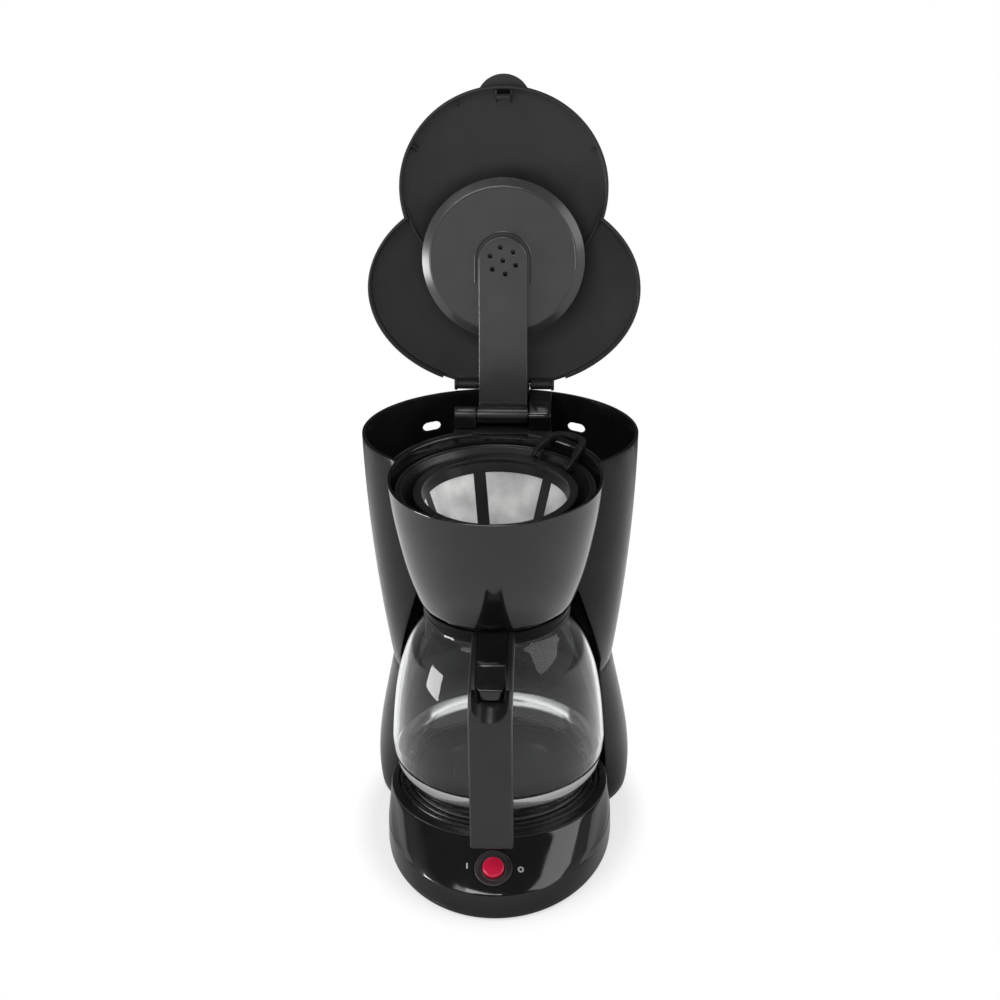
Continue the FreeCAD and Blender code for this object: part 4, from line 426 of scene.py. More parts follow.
MATERIALS = {
    "gloss": surface("black_gloss_plastic", (0.0045, 0.0045, 0.005), (0.007, 0.007, 0.0075),
                     (0.07, 0.13), 1400, 0.015, edge=0.5),
    "satin": surface("black_satin_plastic", (0.007, 0.007, 0.0075), (0.011, 0.011, 0.0115),
                     (0.26, 0.36), 2200, 0.08, edge=0.4),
    "inside": surface("dark_satin_plastic", (0.014, 0.014, 0.0145), (0.018, 0.018, 0.0185),
                      (0.42, 0.52), 2600, 0.10, edge=0.4, level=0.32),
    "grey": surface("grey_satin_plastic", (0.030, 0.030, 0.031), (0.037, 0.037, 0.038),
                    (0.21, 0.27), 2400, 0.06, edge=0.3),
    "grip": surface("grip_satin_plastic", (0.008, 0.008, 0.0085), (0.011, 0.011, 0.0115),
                    (0.30, 0.38), 2400, 0.10, edge=0.8, level=0.42),
    # Painted shade: the collar's finish is made nearly black and dull, standing for the shade under the hood.
    "shade": surface("collar_painted_shade_plastic", (0.002, 0.002, 0.002), (0.003, 0.003, 0.003),
                     (0.32, 0.42), 2400, 0.06, edge=0.3, level=0.08),
    "half": surface("black_half_gloss_plastic", (0.006, 0.006, 0.0065), (0.009, 0.009, 0.0095),
                    (0.19, 0.26), 2000, 0.03, edge=0.5, level=0.14),
    "bezel": surface("black_satin_bezel", (0.020, 0.020, 0.021), (0.028, 0.028, 0.029),
                     (0.28, 0.36), 2400, 0.05, edge=0.4, level=0.5),
    "red": surface("red_gloss_plastic", (0.50, 0.008, 0.045), (0.58, 0.012, 0.055), (0.14, 0.22),
                   1400, 0.02),
    "white": surface("white_print", (0.30, 0.30, 0.30), (0.42, 0.42, 0.415), (0.4, 0.5), 2500, 0.05),
    "rubber": surface("black_rubber", (0.005, 0.005, 0.005), (0.008, 0.008, 0.008), (0.24, 0.34),
                      1800, 0.08, edge=0.3, level=0.3),
    "silicone": surface("silicone", (0.60, 0.60, 0.56), (0.72, 0.72, 0.68), (0.4, 0.5), 900, 0.1),
    "plate": surface("coated_plate", (0.010, 0.010, 0.010), (0.018, 0.018, 0.018), (0.28, 0.42),
                     3000, 0.15, edge=0.3),
    "aluminium": surface("cast_aluminium", (0.50, 0.50, 0.51), (0.62, 0.62, 0.63), (0.35, 0.5),
                         1200, 0.2, metallic=1.0),
    "steel": surface("plain_steel", (0.48, 0.48, 0.49), (0.58, 0.58, 0.59), (0.22, 0.34), 1600, 0.08,
                     metallic=1.0, edge=0.15),
    "mesh": mesh_surface(),
    "glass": glass_surface(),
    "sleeve": surface("woven_sleeve", (0.42, 0.42, 0.36), (0.60, 0.60, 0.54), (0.6, 0.8), 1500, 0.4),
}
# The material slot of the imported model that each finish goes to. A CAD node that shows as it is
# takes the plain finish of its slot; the variants are for pieces that are drawn here.
PLAIN = {"gloss": "black_gloss", "satin": "black_satin", "grey": "grey_satin", "red": "red",
         "white": "white_mark", "rubber": "rubber", "silicone": "silicone", "plate": "coated_plate",
         "aluminium": "aluminium", "steel": "steel", "mesh": "mesh", "glass": "glass",
         "sleeve": "lead_sleeve"}
NODE_SURFACE = {slot: finish for finish, slot in PLAIN.items()}


def finish_cad_nodes():
    """Every CAD node gets the finish of its material slot."""
    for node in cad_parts.values():
        slot_name = node.data.materials[0].name.split(".")[0]
        node.data.materials.clear()
        node.data.materials.append(MATERIALS[NODE_SURFACE[slot_name]])


# ---------------------------------------------------------------- base

def on_slope():
    """The frame of the switch, which stands square on the control slope."""
    return placement((0, *SLOPE_PLACE), SLOPE_TURN)


BAY, BAY_INSIDE = 84.7, 82.3        # radius of the bay behind the base, and inside its wall


def base_row(height, depth, width, inset, bay=BAY, steps=220):
    """The base's outline at a level: an oval in front, the bay's circle behind."""
    row = []
    for i in range(steps):
        t = 2 * pi * i / steps
        across, along = (width - inset) * cos(t), (depth - inset) * sin(t)
        length = sqrt(across ** 2 + along ** 2)
        limit = bay - inset
        if along > 0 and length > limit:
            across, along = across * limit / length, along * limit / length
        row.append((across, along, height))
    return row


def base():
    ovals = [(5.0, 116.4, 82.4, 0.8), (5.4, 116.8, 82.8, 0), (12, 116.4, 82.7, 0),
             (20.6, 115.7, 82.45, 0), (21.4, 115.4, 82.3, 0.25), (22.0, 114.8, 82.2, 0.3)]
    foot, rise = 21.6, 22.7         # of the control slope
    reach, draw = 115.6, 35.3       # the oval's depth at the foot, and how much less it is on top
    half, taper = 82.4, 2.4         # its half width at the foot, and how much less that is on top
    slope_steps = 10
    for step in range(1, slope_steps + 1):
        share = step / slope_steps
        bulge = 0.5 * sin(pi * share)
        ovals.append((foot + rise * share + bulge * 0.6, reach - draw * share + bulge * 0.5,
                      half - taper * share, 0.1))
    ovals += [(44.8, 79.9, 79.9, 0.3), (45.0, 79.3, 79.3, 0.3)]
    rows = [base_row(*oval) for oval in ovals]
    rows += [base_row(45.0, 64.3, 64.3, 0.1), base_row(44.2, 64.0, 64.0, 0), base_row(42.6, 64.2, 64.2, 0),
             base_row(42.4, 78.5, 77.8, 0), base_row(20.5, 112.5, 79.6, 0.2, BAY_INSIDE),
             base_row(5.0, 113.6, 80.4, 0.2, BAY_INSIDE)]
    body = sheet_of_rows("base_shell", rows, along=True)
    hole = moved(revolve("bezel_hole", [(0, -5), (13.7, -5), (13.7, 6), (0, 6)], 72, closed=False),
                 on_slope())
    passage = prism("base_passage", [(37, 5.2), (90, 5.2), (90, 38), (37, 38)], -56, 56)
    combined(body, [hole, passage])
    piece(body, "machine", "gloss", ["base_housing"], angle=24)

    ring = revolve("plate_ring", fillet([
        (66.4, 45.1), (79.6, 45.1), (79.6, 46.2, 0.5), (74.4, 48.4, 0.7), (73.8, 47.6, 0.2),
        (73.1, 47.6, 0.2), (72.6, 48.9, 0.6), (70.4, 49.6, 0.5), (69.9, 48.9, 0.2), (69.2, 48.9, 0.2),
        (68.8, 50.2, 0.5), (67.2, 50.8, 0.5), (66.4, 50.2, 0.4)], 4))
    piece(ring, "machine", "rubber", ["sealing_ring"])
    plate = revolve("warming_plate", fillet([
        (0, 50.1), (63.0, 50.1), (63.0, 45.4), (65.9, 45.4), (65.9, 51.6, 0.9), (64.4, 52.5, 0.9),
        (61.2, 52.5, 0.5), (60.6, 52.2, 0.5), (34, 52.2, 0.3), (33.4, 52.35, 0.3), (0, 52.35)], 4),
        closed=False)
    piece(plate, "machine", "plate", ["hot_plate"])

    bezel = moved(revolve("switch_dish", fillet([
        (8.15, -3.7), (11.9, -3.7), (11.9, 0.05), (13.6, 0.05, 0.2), (13.5, 0.75, 0.35), (12.7, 0.8, 0.3),
        (12.2, 0.2, 0.5), (9.8, -0.62, 0.9), (9.0, -0.7, 0.2), (8.75, -0.25, 0.2), (8.4, -0.2, 0.2),
        (8.15, -0.5, 0.2)], 5), 96), on_slope())
    piece(bezel, "machine", "bezel", ["switch_bezel"])
    button = moved(revolve("push_button", fillet([
        (0, -6.2), (9.1, -6.2), (9.1, -4.35, 0.2), (7.7, -4.35), (7.7, 2.5, 0.6), (7.35, 3.1, 0.5),
        (6.6, 3.35, 0.8), (0, 3.1)], 5), 96, closed=False), on_slope())
    piece(button, "button", "red", ["power_button"])


# ---------------------------------------------------------------- hood, basket, filter

def hood():
    wall, floor_top = 2.5, 206
    side = smooth_line([(56, 202.5), (62.5, 222), (67.4, 241.5), (72.8, 270), (76, 294.9)], 10)[1:-1]
    inside = [(r - wall, z) for r, z in side if z > floor_top]
    profile = ([(14.3, 202.5), (53.6, 202.5), (54.9, 202.6), (55.6, 203.0), (56.15, 203.8)] + side[1:]
               + [(75.95, 294.2), (75.8, 294.7), (75.4, 294.9), (74.3, 294.9), (73.8, 294.7), (73.5, 294.2)]
               + inside[::-1] + [(54.0, 205.6), (53.2, 205.05), (52, 205), (14.3, 205)])
    body = revolve("hood_shell", profile, 240)
    # The notch for the spray arm, drawn upright and turned to lie across the rear wall.
    notch = prism("notch", fillet([(-20.5, 290.3, 1.5), (20.5, 290.3, 1.5), (20.5, 296), (-20.5, 296)], 4),
                  -86, -66, "z")
    moved(notch, Matrix.Rotation(radians(90), 4, "X"))
    piece(combined(body, [notch]), "machine", "gloss", ["brew_hood"], angle=24)


def basket():
    body = revolve("basket_shell", fillet([
        (70.9, 286.0, 0.4), (70.9, 284.1, 0.3), (68.4, 284.0, 0.8), (40, 212, 2), (40, 205.4, 0.5),
        (38, 205.4, 0.5), (38, 209.5, 0.4), (13, 207, 1), (13, 201.95, 0.6), (6.5, 201.95, 0.4), (6.5, 207),
        (3.4, 207), (3.4, 209.5), (13, 209.5, 1), (36, 213, 3), (65.6, 284.6, 0.6), (66.2, 286.4, 0.5),
        (67.6, 286.4, 0.4), (68.0, 285.9, 0.3), (69.3, 285.9, 0.3), (69.7, 286.4, 0.3),
        (70.7, 286.4, 0.3)], 4), 200)
    piece(body, "basket", "satin", ["brew_basket"])


def filter_set():
    low_radius, low, flare, rise = 33, 219.5, 20, 61.5
    ribs, first_rib, rib_half, rib_steps = 6, 46, 4.5, 12

    def cone(z):
        """The radius of the filter's wall at a height."""
        return low_radius + (z - low) * flare / rise
    cloth = revolve("filter_cloth", [(33.05, 219.6), (33.6, 219.6), (53.4, 280.85), (52.9, 280.85)], 200)
    piece(cloth, "filter", "mesh", ["filter_mesh"])
    rim = revolve("filter_rim", fillet([
        (52.2, 281.05), (57.9, 281.05, 0.3), (57.9, 283.6, 0.4), (57.0, 283.95, 0.3), (55.9, 283.95, 0.3),
        (55.5, 283.4, 0.3), (54.3, 283.4, 0.3), (53.9, 283.9, 0.3), (52.8, 283.9, 0.4),
        (52.2, 283.3, 0.3)], 4), 200)
    band = revolve("filter_band", [(cone(274) - 0.4, 274), (cone(274) + 0.02, 274),
                                   (cone(281) + 0.02, 281.05), (cone(281) - 0.6, 281.05)], 200)
    frame_copy = cad_copy("filter_ribs", "filter_frame", 0.3)
    foot = cad_copy("filter_ring", "filter_foot", 0.4)
    # Each rib's inner face: shares of its half width, and how far it stands in from the wall there.
    rib_face = ((-1, 0.05), (-0.93, 0.4), (-0.4, 0.5), (0, 0.5), (0.4, 0.5), (0.93, 0.4), (1, 0.05))
    inner = []
    for i in range(ribs):
        middle = radians(first_rib + 360 / ribs * i)
        rows = []
        for step in range(rib_steps + 1):
            z = 219.6 + 54.6 * step / rib_steps
            half = rib_half / cone(z)
            rows.append([((cone(z) - lift) * cos(middle + half * share),
                          (cone(z) - lift) * sin(middle + half * share), z) for share, lift in rib_face])
        inner.append(sheet_of_rows(f"rib_{i}", rows, around=False))
    body = merged("filter_frame_shell", frame_copy, foot, rim, band, *inner)
    piece(body, "filter", "satin", ["filter_frame", "filter_foot"])

    tip = [(18.4, 54.8), (18.4, 62), (17.6, 69), (15.6, 75.4), (12, 80.4), (6.6, 83.5), (0, 84.3)]
    hole = [(15.3, 50), (15.3, 60), (13.4, 65), (12, 70), (9.6, 75.2), (5.6, 79), (0, 80.2)]
    outside = smooth_line(tip + [(-x, y) for x, y in tip[-2::-1]], 5)
    eye = smooth_line(hole + [(-x, y) for x, y in hole[-2::-1]], 5)
    side = fillet([(56.3, 286.6), (59.9, 286.6), (59.9, 287.9, 1), (72.1, 295.5, 3), (84.5, 295.5),
                   (84.5, 298.7), (69.9, 298.7, 5), (56.3, 289.2, 3)], 6)
    loop = prism("filter_loop", side, -18.5, 18.5)
    combined(loop, [prism("loop_mask", outside, 280, 300, "z")], "INTERSECT")
    combined(loop, [prism("loop_eye", eye, 280, 300, "z"),
                    prism("loop_pins", circle(BAIL_PIN, 1.55, 24), -20, 20)])
    bevelled(loop, 0.75, 4, 30)
    ring = fillet([(1.55, 0), (2.6, 0, 0.4), (2.6, 2.7, 0.4), (1.55, 2.7)], 4)
    barrels = [moved(revolve(f"loop_barrel_{x}", ring, 40), placement((x, *BAIL_PIN), 90, "Y"))
               for x in (-18, 15.3)]
    strap = moved(merged("filter_loop_strap", loop, *barrels), Matrix.Rotation(radians(BAIL_TURN), 4, "Z"))
    piece(strap, "bail", "satin", ["filter_handle"])


# ---------------------------------------------------------------- lid

LOBE_Y, TANK_Y = -149, -73.5        # middles of the lid's two lobes, in the closed lid's frame


def lid_rows(levels, count=110):
    """The lid's two-lobed outline at levels (inset, height), in the closed lid's frame."""
    lobe_radius, lobe_flat = 77, 0.968          # over the hood; its tip is a little flattened
    tank_half, tank_deep = 101.4, 76.3          # over the tank
    halvings = 40
    rows = []
    for inset, height in levels:
        radius, half, deep = lobe_radius - inset, tank_half - inset, tank_deep - inset

        def lobe(t):
            return radius * sin(t), LOBE_Y - radius * cos(t) * (lobe_flat if cos(t) > 0 else 1)

        def outside(t):
            x, y = lobe(t)
            return (x / half) ** 2 + ((y - TANK_Y) / deep) ** 2 > 1
        low, high = 0.5, pi
        for _ in range(halvings):       # where the front lobe meets the tank's oval
            middle = (low + high) / 2
            low, high = (middle, high) if outside(middle) else (low, middle)
        x, y = lobe(low)
        start = atan2(x / half, -(y - TANK_Y) / deep)
        row = [(*lobe(t), height) for t in (-low + 2 * low * i / count for i in range(count + 1))]
        row += [(half * sin(u), TANK_Y - deep * cos(u), height)
                for u in (start + (2 * pi - 2 * start) * i / count for i in range(1, count))]
        rows.append(row)
    return rows


def lid():
    rows = lid_rows([(3.4, 6.3), (2.6, 6.22), (1.4, 5.8), (0.5, 5.0), (0.08, 4.0), (0, 3.2), (0, -2.9),
                     (0.15, -3.4), (0.6, -3.6), (1.5, -3.6), (1.75, -3.4), (1.85, -2.9), (1.9, -1.9),
                     (2.5, -1.6), (2.6, 2.9), (2.8, 3.7), (3.6, 4.1)])
    shell = sheet_of_rows("lid_shell_skin", rows, caps=True)
    relief = prism("lid_relief", [(-46, -9), (46, -9), (46, 12), (-46, 12)], -6, 3.2, "z")
    parts = [combined(shell, [relief])]

    tab_y, tab_radius = -211.9, 20
    tab = prism("tab", arc((0, tab_y), tab_radius, 180, 360, 48)
                + [(tab_radius, tab_y + 6), (-tab_radius, tab_y + 6)], -0.4, 2.4, "z")
    trim = revolve("trim", [(0, -3), (75.9, -3), (75.9, 5), (0, 5)], 160, closed=False)
    combined(tab, [moved(trim, placement((0, LOBE_Y, 0)) @ Matrix.Diagonal((1, 0.966, 1, 1)))])
    parts.append(bevelled(tab, 0.7, 3))

    under = 4.3         # the underside, where hook and ribs are rooted
    section = fillet([(-214.6, under), (-214.6, -6.0, 0.5), (-217.0, -6.0, 0.4), (-216.8, -4.4, 0.4),
                      (-217.6, -3.2, 0.6), (-217.6, under)], 3)
    parts.append(bevelled(prism("hook", section, -5, 5), 0.4, 2))
    for x in (-5.9, 4.7):
        section = fillet([(-220.8, under), (-220.8, -1, 0.4), (-216.6, -1, 2), (-210.1, under)], 4)
        parts.append(bevelled(prism(f"hook_rib_{x}", section, x, x + 1.2), 0.25, 2))
    for index, angle in enumerate((-28.4, -64.6, -67.6, 66.3)):
        t = radians(angle)
        section = fillet([(0, under), (0, 0.2, 0.4), (3.4, 0.2, 1.5), (5.6, under)], 4)
        rib = moved(prism(f"rim_rib_{index}", section, -0.55, 0.55),
                    placement((74.6 * sin(t), LOBE_Y - 72.3 * cos(t), 0), angle, "Z"))
        parts.append(bevelled(rib, 0.2, 2))

    def lobe_rib(t):
        """The section of the ribs beside the front lobe, which get lower towards the rear."""
        sill = max(0, t - 112) * 0.16
        return ((74.4, under), (74.4, 0.6 + sill), (74.0, 0.3 + sill), (73.2, 0.3 + sill),
                (72.8, 0.6 + sill), (72.8, under))
    for side in (-1, 1):
        rows = [[(r * sin(radians(side * t)), LOBE_Y - r * cos(radians(side * t)), z) for r, z in lobe_rib(t)]
                for t in range(103, 128)]
        parts.append(sheet_of_rows(f"lobe_rib_{side}", rows, caps=True))

    length = 16.6
    for low in (-36, 19.4):
        parts.append(rod(f"knuckle_{low}", (low, 0, 0), (low + length, 0, 0), 3.5, 40, 0.5))
        section = fillet([(-3.5, 0), (3.5, 0), (2.4, 5.2), (-4.5, 5.4)], 4)
        parts.append(bevelled(prism(f"leaf_{low}", section, low, low + length), 0.4, 2))
        end = low - 1.4 if low < 0 else low + 15.6
        parts.append(rod(f"knuckle_cap_{low}", (end, 0, 0), (end + 2.4, 0, 0), 4.4, 40, 0.6))
    body = moved(merged("lid_panel", *parts), placement(LID_AXIS, LID_TURN))
    piece(body, "lid", "inside", ["lid_shell"], angle=28)


# ---------------------------------------------------------------- spray arm

SPRAY_Y = -115      # middle of the spray holes and the disc, in the lowered arm's frame


def bow(radius, step=5):
    """The half circle round the arm's tip, from its left to its right."""
    return [(radius * sin(radians(t)), SPRAY_Y - radius * cos(radians(t))) for t in range(-90, 91, step)]


def spray_arm():
    open_arm = placement(ARM_AXIS, ARM_TURN)
    half, wall = 18, 2
    blank = prism("arm_blank", bow(half) + [(half, -4), (-half, -4)], 4.6, 9.7, "z")
    bevelled(blank, 1.1, 4, 50)
    inside = half - wall
    tools = [prism("channel", bow(inside) + [(inside, -8.2), (-inside, -8.2)], 6.5, 12, "z")]
    spots = [(0, SPRAY_Y)] + arc((0, SPRAY_Y), 10, 20, 320, 5)
    for index, (x, y) in enumerate(spots):
        bore = revolve(f"shower_{index}", [(0, 3), (2.1, 3), (2.1, 4.55), (1.6, 5.1), (1.6, 9), (0, 9)],
                       28, closed=False)
        tools.append(moved(bore, placement((x, y, 0))))
    combined(blank, tools)
    web = bevelled(prism("arm_web", [(-9, 4.6), (-4.5, 4.6), (-4.5, 9.7), (-9, 9.7)], -half, half), 0.3, 2)
    piece(moved(merged("arm_shell", blank, web), open_arm), "shower", "grey", ["spray_arm"], angle=28)
    barrel = revolve("arm_barrel", fillet([(3.47, -19), (6.2, -19, 0.7), (6.2, 19, 0.7), (3.47, 19)], 4), 64)
    moved(barrel, Matrix.Rotation(radians(90), 4, "Y"))
    saddle = prism("arm_saddle", [(-6.0, 2.5), (-3.7, 2.5), (-2.5, 4.8), (2.5, 4.8), (3.7, 2.5), (6.1, 2.5),
                                  (6.1, 7.0), (3.5, 9.6), (-5.5, 9.6)], -half, half)
    hub = merged("arm_hub", barrel, bevelled(saddle, 0.4, 3))
    piece(moved(hub, open_arm), "shower", "satin", angle=28)

    disc_low, disc_high = 10.05, 11.8
    disc = revolve("disc_body", fillet([
        (0, disc_low), (54.0, disc_low, 0.5), (54.6, 10.3, 0.3), (60.0, 13.5, 0.4), (60.3, 14.15, 0.2),
        (58.6, 14.15, 0.2), (53.2, disc_high, 0.4), (0, disc_high)], 5), 240, closed=False)
    moved(disc, placement((0, SPRAY_Y, 0)))
    cover = prism("arm_cover", [(-half, SPRAY_Y), (half, SPRAY_Y), (half, -7.3), (-half, -7.3)],
                  disc_low, disc_high, "z")
    bevelled(cover, 0.3, 2)
    arch = [(-20.6, -98.0), (-20.6, -104)] + bow(20.6, 6) + [(20.6, -104), (20.6, -98.0)]
    ridge = piped("arch_ridge", [(x, y, 9.9) for x, y in arch], 0.75)
    face = piped("face_ring", [(x, y, disc_low) for x, y in circle((0, SPRAY_Y), 53.4, 120)], 0.28,
                 cyclic=True, steps=3)
    body = merged("disc_shell", disc, cover, ridge, face)
    piece(moved(body, open_arm), "shower", "grey", ["splash_disc"], angle=28)


# ---------------------------------------------------------------- carafe

def carafe():
    outer = [(62, 52.8), (65.5, 53.6), (69.4, 57.4), (71.9, 61.5), (75.0, 70), (77.3, 83), (77.3, 92),
             (75.7, 112), (73.4, 130), (69.6, 147.5), (63.6, 165), (55.2, 180), (51.6, 185), (50.1, 188.6)]
    thickness, floor_top = 2.2, 58
    side = smooth_line(outer, 6)
    bead = [(76.1, 75.4), (76.5, 75.6), (76.55, 76.0), (76.2, 76.3)]        # the ring above the heel
    skin = [(r, z) for r, z in side if z < 75.4] + bead + [(r, z) for r, z in side if z > 76.4]
    inner = []
    for i, (r, z) in enumerate(side):
        before, after = Vector(side[max(i - 1, 0)]), Vector(side[min(i + 1, len(side) - 1)])
        way = (after - before).normalized()
        inner.append((r - way.y * thickness, z + way.x * thickness))
    inner = [point for point in inner if point[1] > floor_top]
    profile = ([(0, 54.3), (30, 54.1), (50, 53.6), (56, 53.0), (60, 52.8)] + skin
               + [(50, 195.2), (49.6, 195.9), (48.4, 195.9), (47.9, 195.2), (47.9, 188)] + inner[::-1]
               + [(66.5, 57.0), (62, 55.8), (56, 55.5), (30, 56.1), (0, 56.4)])
    body = revolve("carafe_shell", profile, 200, closed=False)
    piece(body, "carafe", "glass", ["carafe_glass"], angle=50)

    collar = revolve("carafe_band", fillet([
        (50.25, 188.7), (52.0, 188.7, 0.3), (52.75, 189.5, 0.7), (52.75, 192.6, 0.2), (52.4, 192.9, 0.2),
        (52.4, 193.3, 0.2), (52.75, 193.6, 0.2), (52.75, 197.4, 0.7), (52.0, 198.2, 0.4),
        (50.25, 198.2)], 4), 200)
    # The collar sits under the hood; its darkened, dulled finish is painted shade.
    piece(collar, "carafe", "shade", ["carafe_collar"])
    top = revolve("jug_lid_disc", fillet([
        (8, 195.6), (45, 195.6, 0.5), (45, 190.3, 0.3), (47.1, 190.3, 0.3), (47.1, 196.35),
        (49.75, 196.35, 0.2), (49.75, 198.3, 0.5), (49.1, 198.95, 0.4), (44.5, 198.95, 0.3),
        (44.1, 198.5, 0.2), (43.3, 198.5, 0.2), (42.9, 198.95, 0.3), (16, 198.95, 2),
        (8.05, 197.4, 0.4)], 4), 160)
    ear = fillet([(-49.4, 198.4), (-44.6, 198.4), (-44.6, 199.6, 0.8), (-45.6, 201.3, 0.9),
                  (-48.4, 201.3, 0.9), (-49.4, 199.8, 0.8)], 4)
    lugs = [bevelled(prism(f"jug_lug_{x}", ear, x - 1.2, x + 1.2), 0.2, 2) for x in (-9, 9)]
    lid_piece = merged("jug_lid", top, *lugs)
    combined(lid_piece, [prism("jug_bore", circle(LEVER_PIN, LEVER_BORE, 24), -12, 12)])
    piece(lid_piece, "carafe", "gloss", ["carafe_lid"])

    half = 10.2
    outline = fillet([(-53.4, 199.2), (-53.4, 201.35, 0.5), (-58.8, 201.35, 7), (-89, 194.6, 24),
                      (-104.0, 182.8, 1.6), (-104.9, 181.0, 0.8), (-104.9, 175.2, 0.6), (-103.2, 175.2, 0.6),
                      (-101.2, 181.0, 2), (-96, 187.6, 6), (-58.8, 199.2, 5)], 8)
    blade = prism("thumb_blade", outline, -half, half)
    plan = fillet([(-half, -50), (-half, -104.9, 5), (half, -104.9, 5), (half, -50)], 8)
    combined(blade, [prism("blade_plan", plan, 170, 210, "z")], "INTERSECT")
    tongue = prism("thumb_tongue", [(-55, 199.25), (-44.7, 199.25), (-44.7, 201.35), (-55, 201.35)],
                   -7.4, 7.4)
    combined(blade, [tongue], "UNION")
    combined(blade, [prism("thumb_bore", circle(LEVER_PIN, LEVER_BORE, 24), -9, 9)])
    piece(bevelled(blade, 0.45, 3), "carafe", "gloss", ["lid_lever"])


def handle():
    outline = fillet([(-51.9, 188.8), (-51.9, 200.5), (-61.8, 199.7, 6), (-108, 184.9, 10),
                      (-117.4, 175, 5), (-118.95, 166, 8), (-118.95, 64, 2), (-117, 62.05, 2),
                      (-105.6, 62.05, 2), (-103.6, 64, 2), (-103.6, 155, 10), (-96.5, 167.0, 8),
                      (-61.8, 185.4, 6), (-57, 188.8, 3)], 8)
    body = bevelled(prism("handle_body", outline, -15.15, 15.15), 2.3, 5, 60)
    channel = prism("handle_channel", [(-50, 198.6), (-58.8, 198.6), (-96, 187.0), (-100.6, 181.4),
                                       (-102.2, 174.0), (-107.2, 174.0), (-107.2, 215), (-50, 215)],
                    -10.6, 10.6)
    # The thumb's hollow: a slanting cylinder, a little wider than deep.
    scoop = revolve("handle_scoop", [(0, -60), (12.2, -60), (12.2, 19.2), (0, 19.2)], 96, closed=False)
    moved(scoop, placement((0, -124.06, 176.55), -65) @ Matrix.Diagonal((1.07, 1, 1, 1)))
    seat = revolve("handle_seat", [(0, 180), (52.9, 180), (52.9, 210), (0, 210)], 160, closed=False)
    way = moved(prism("handle_way", circle((0, 0), 1.6, 18), -1, 12, "z"), placement((0, -64.9, 192.65), -90))
    combined(body, [channel, scoop, seat, way])
    piece(body, "carafe", "grip", ["carafe_handle"], angle=24)


# ---------------------------------------------------------------- small mechanical parts

def hinge_parts():
    _, y, z = ARM_AXIS
    top = arc((y, z), 6.5, 180, 0, 24)
    block = bevelled(prism("elbow_block", [(111.5, 279.4)] + top + [(124.5, 279.4)], -36, -19.5), 1.3, 3)
    pivot = rod("elbow_pivot", (-20, y, z), (25, y, z), 3.4, 48)
    nipple = rod("elbow_nipple", (-27.7, y, 270), (-27.7, y, 281), 4, 40)
    piece(merged("outlet_barrel", block, pivot, nipple), "machine", "satin", ["outlet_elbow"])

    post = prism("bearing_post", fillet([(110, 279.4), (110, 291.5, 4), (124, 296.8, 9), (141, 297.4, 2.2),
                                         (141, 279.4)], 8), 19.6, 36)
    bevelled(post, 0.9, 3)
    combined(post, [prism("bearing_bore", circle((y, z), 3.5, 36), 19, 30)])
    piece(post, "machine", "gloss", ["arm_bearing"], angle=24)

    ledge = prism("column_ledge", fillet([(-42, 99, 11), (-15, 99, 3), (-15, 105.4), (-42, 105.4)], 8),
                  274.8, 277.4, "z")
    column = merged("column_skin", cad_copy("column_body", "water_column", 1.0), bevelled(ledge, 0.8, 3))
    piece(column, "machine", "satin", ["water_column"])


def small_parts():
    for node, width, finish in (("hinge_bracket", 0.5, "gloss"), ("lower_housing", 0.5, "half"),
                                ("tank_housing", 0.6, "half")):
        piece(cad_copy(node + "_skin", node, width), "machine", finish, [node])


# ---------------------------------------------------------------- stage

def stage_surface(name, colour, share):
    """The floor: matt, and white to the camera and in reflections, with the object's shadow on it.
    Under the object its white is held back to a share, so that the shadow shows."""
    foot_middle, foot_half = (0, 0.018, 0), (0.1, 0.136, 1)         # the oval under the object
    material = new_material(name)[0]
    tree = material.node_tree
    tree.nodes.clear()
    place = position(tree)
    path = add(tree, "LightPath")
    seen = maths(tree, "MAXIMUM", path.outputs["Is Camera Ray"], path.outputs["Is Transmission Ray"])
    shown = maths(tree, "MAXIMUM", seen, path.outputs["Is Glossy Ray"])
    centred = vector_maths(tree, "SUBTRACT", place, foot_middle)
    scaled = vector_maths(tree, "DIVIDE", centred, foot_half)
    fade = span(tree, vector_maths(tree, "LENGTH", scaled), 0.95, 1.12, share, 1.0)

    # In reflections the floor is darker far behind the object, and close around it a painted shade stands for
    # the object's shadow.
    behind = span(tree, coordinate(tree, place, "Y"), 0.42, 0.62, 1.0, 0.25)
    painted_shade_near = span(tree, vector_maths(tree, "LENGTH", place), 0.11, 0.2, 0.3, 1.0)
    level = add(tree, "Mix", {"A": 1.0})
    wire(tree, path.outputs["Is Glossy Ray"], level.inputs["Factor"])
    wire(tree, maths(tree, "MULTIPLY", behind, painted_shade_near), level.inputs["B"])

    matt = add(tree, "BsdfDiffuse", {"Color": (*colour, 1)})
    glow = add(tree, "Emission")
    wire(tree, level.outputs["Result"], glow.inputs["Strength"])
    blend = mixed(tree, maths(tree, "MULTIPLY", shown, fade), matt, glow)
    wire(tree, blend.outputs[0], add(tree, "OutputMaterial").inputs["Surface"])
    return material


def ground():
    half, front, back = 9000, -6000, 9000
    floor = sheet_of_rows("floor", [[(x, y, 0) for x in (-half, half)] for y in (front, back)], around=False)
    floor.data.materials.append(stage_surface("white_floor", (0.88, 0.88, 0.88), 0.62))


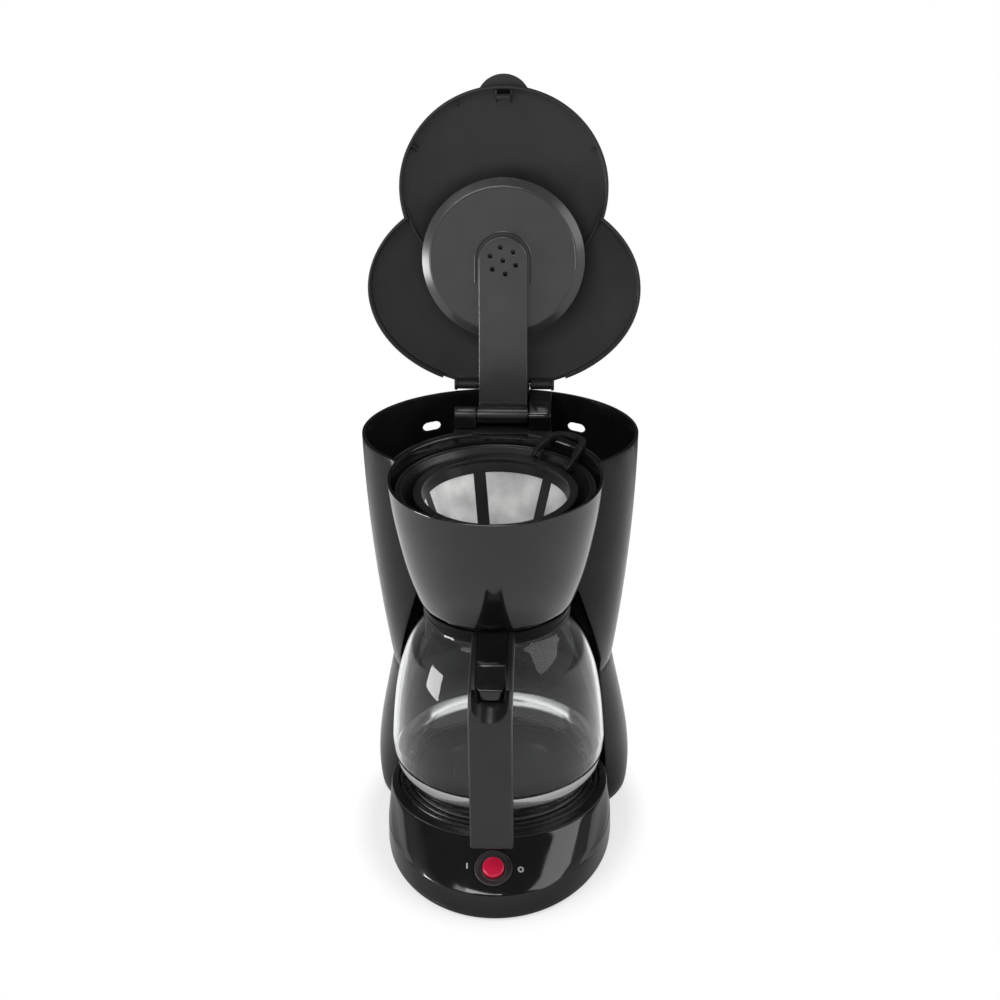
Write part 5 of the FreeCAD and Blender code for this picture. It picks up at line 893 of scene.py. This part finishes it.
def room():
    """The plain light all round; the camera and glass see it pale, and reflections see it graded."""
    world = bpy.data.worlds.new("studio")
    bpy.context.scene.world = world
    world.use_nodes = True
    tree = world.node_tree
    tree.nodes.clear()
    ambient = add(tree, "Background", {"Strength": 0.4})
    pale = add(tree, "Background", {"Strength": 1.0})
    reflected = add(tree, "Background")
    way = position(tree, "Generated")
    wire(tree, span(tree, coordinate(tree, way, "Y"), -0.1, 0.3, 1.0, 0.2), reflected.inputs["Strength"])
    shade = graded(tree, coordinate(tree, way, "Z"), [(0.05, 0.9), (0.55, 0.12)])
    wire(tree, shade, reflected.inputs["Color"])
    path = add(tree, "LightPath")
    lit = mixed(tree, path.outputs["Is Glossy Ray"], ambient, reflected)
    seen = maths(tree, "MAXIMUM", path.outputs["Is Camera Ray"], path.outputs["Is Transmission Ray"])
    final = mixed(tree, seen, lit, pale)
    wire(tree, final.outputs[0], add(tree, "OutputWorld").inputs["Surface"])


def softbox(name, place, aim, width, depth, level):
    """A soft lamp, placed and sized in metres; level is its brightness, where 1 is white."""
    lamp = bpy.data.lights.new(name, "AREA")
    lamp.shape = "RECTANGLE"
    lamp.size, lamp.size_y, lamp.energy = width, depth, level * pi * width * depth
    obj = linked(name, lamp)
    obj.location = place
    obj.rotation_euler = (Vector(aim) - Vector(place)).to_track_quat("-Z", "Y").to_euler()
    obj.visible_camera = False
    obj.visible_transmission = False


def studio():
    ground()
    room()
    softbox("key_softbox", (-1.28, -0.34, 0.18), (-0.05, 0.14, 0.34), 0.46, 0.36, 22)
    softbox("right_softbox", (1.1, -0.22, 0.85), (0.045, -0.09, 0.03), 1.2, 0.76, 2.8)
    softbox("top_softbox", (-0.4, -1.2, 1.9), (0, 0, 0.2), 1.4, 0.36, 8)
    softbox("upper_left", (-1.1, -1.1, 1.6), (0, 0, 0.3), 0.8, 0.6, 3.5)
    softbox("overhead_softbox", (-0.06, 0.22, 1.6), (0, -0.1, 0.2), 0.5, 0.35, 6)


def camera():
    yaw, pitch, roll = radians(2.82), radians(26.56), radians(-0.69)
    aim_height, aside, distance = 276.35, 3.04, 1756.65
    back = Vector((sin(yaw) * cos(pitch), -cos(yaw) * cos(pitch), sin(pitch)))
    right = (-back).cross(Vector((0, 0, 1))).normalized()
    up = right.cross(-back)
    place = (Vector((0, 0, aim_height)) + right * aside + back * distance) * MM
    across = right * cos(roll) + up * sin(roll)
    upward = up * cos(roll) - right * sin(roll)
    data = bpy.data.cameras.new("camera")
    data.sensor_width, data.lens = 36, 90
    obj = linked("camera", data)
    obj.matrix_world = Matrix.Translation(place) @ Matrix((across, upward, back)).transposed().to_4x4()
    bpy.context.scene.camera = obj


finish_cad_nodes()
base()
hood()
basket()
filter_set()
lid()
spray_arm()
carafe()
handle()
hinge_parts()
small_parts()
studio()
camera()
bpy.context.scene.view_settings.view_transform = "Standard"
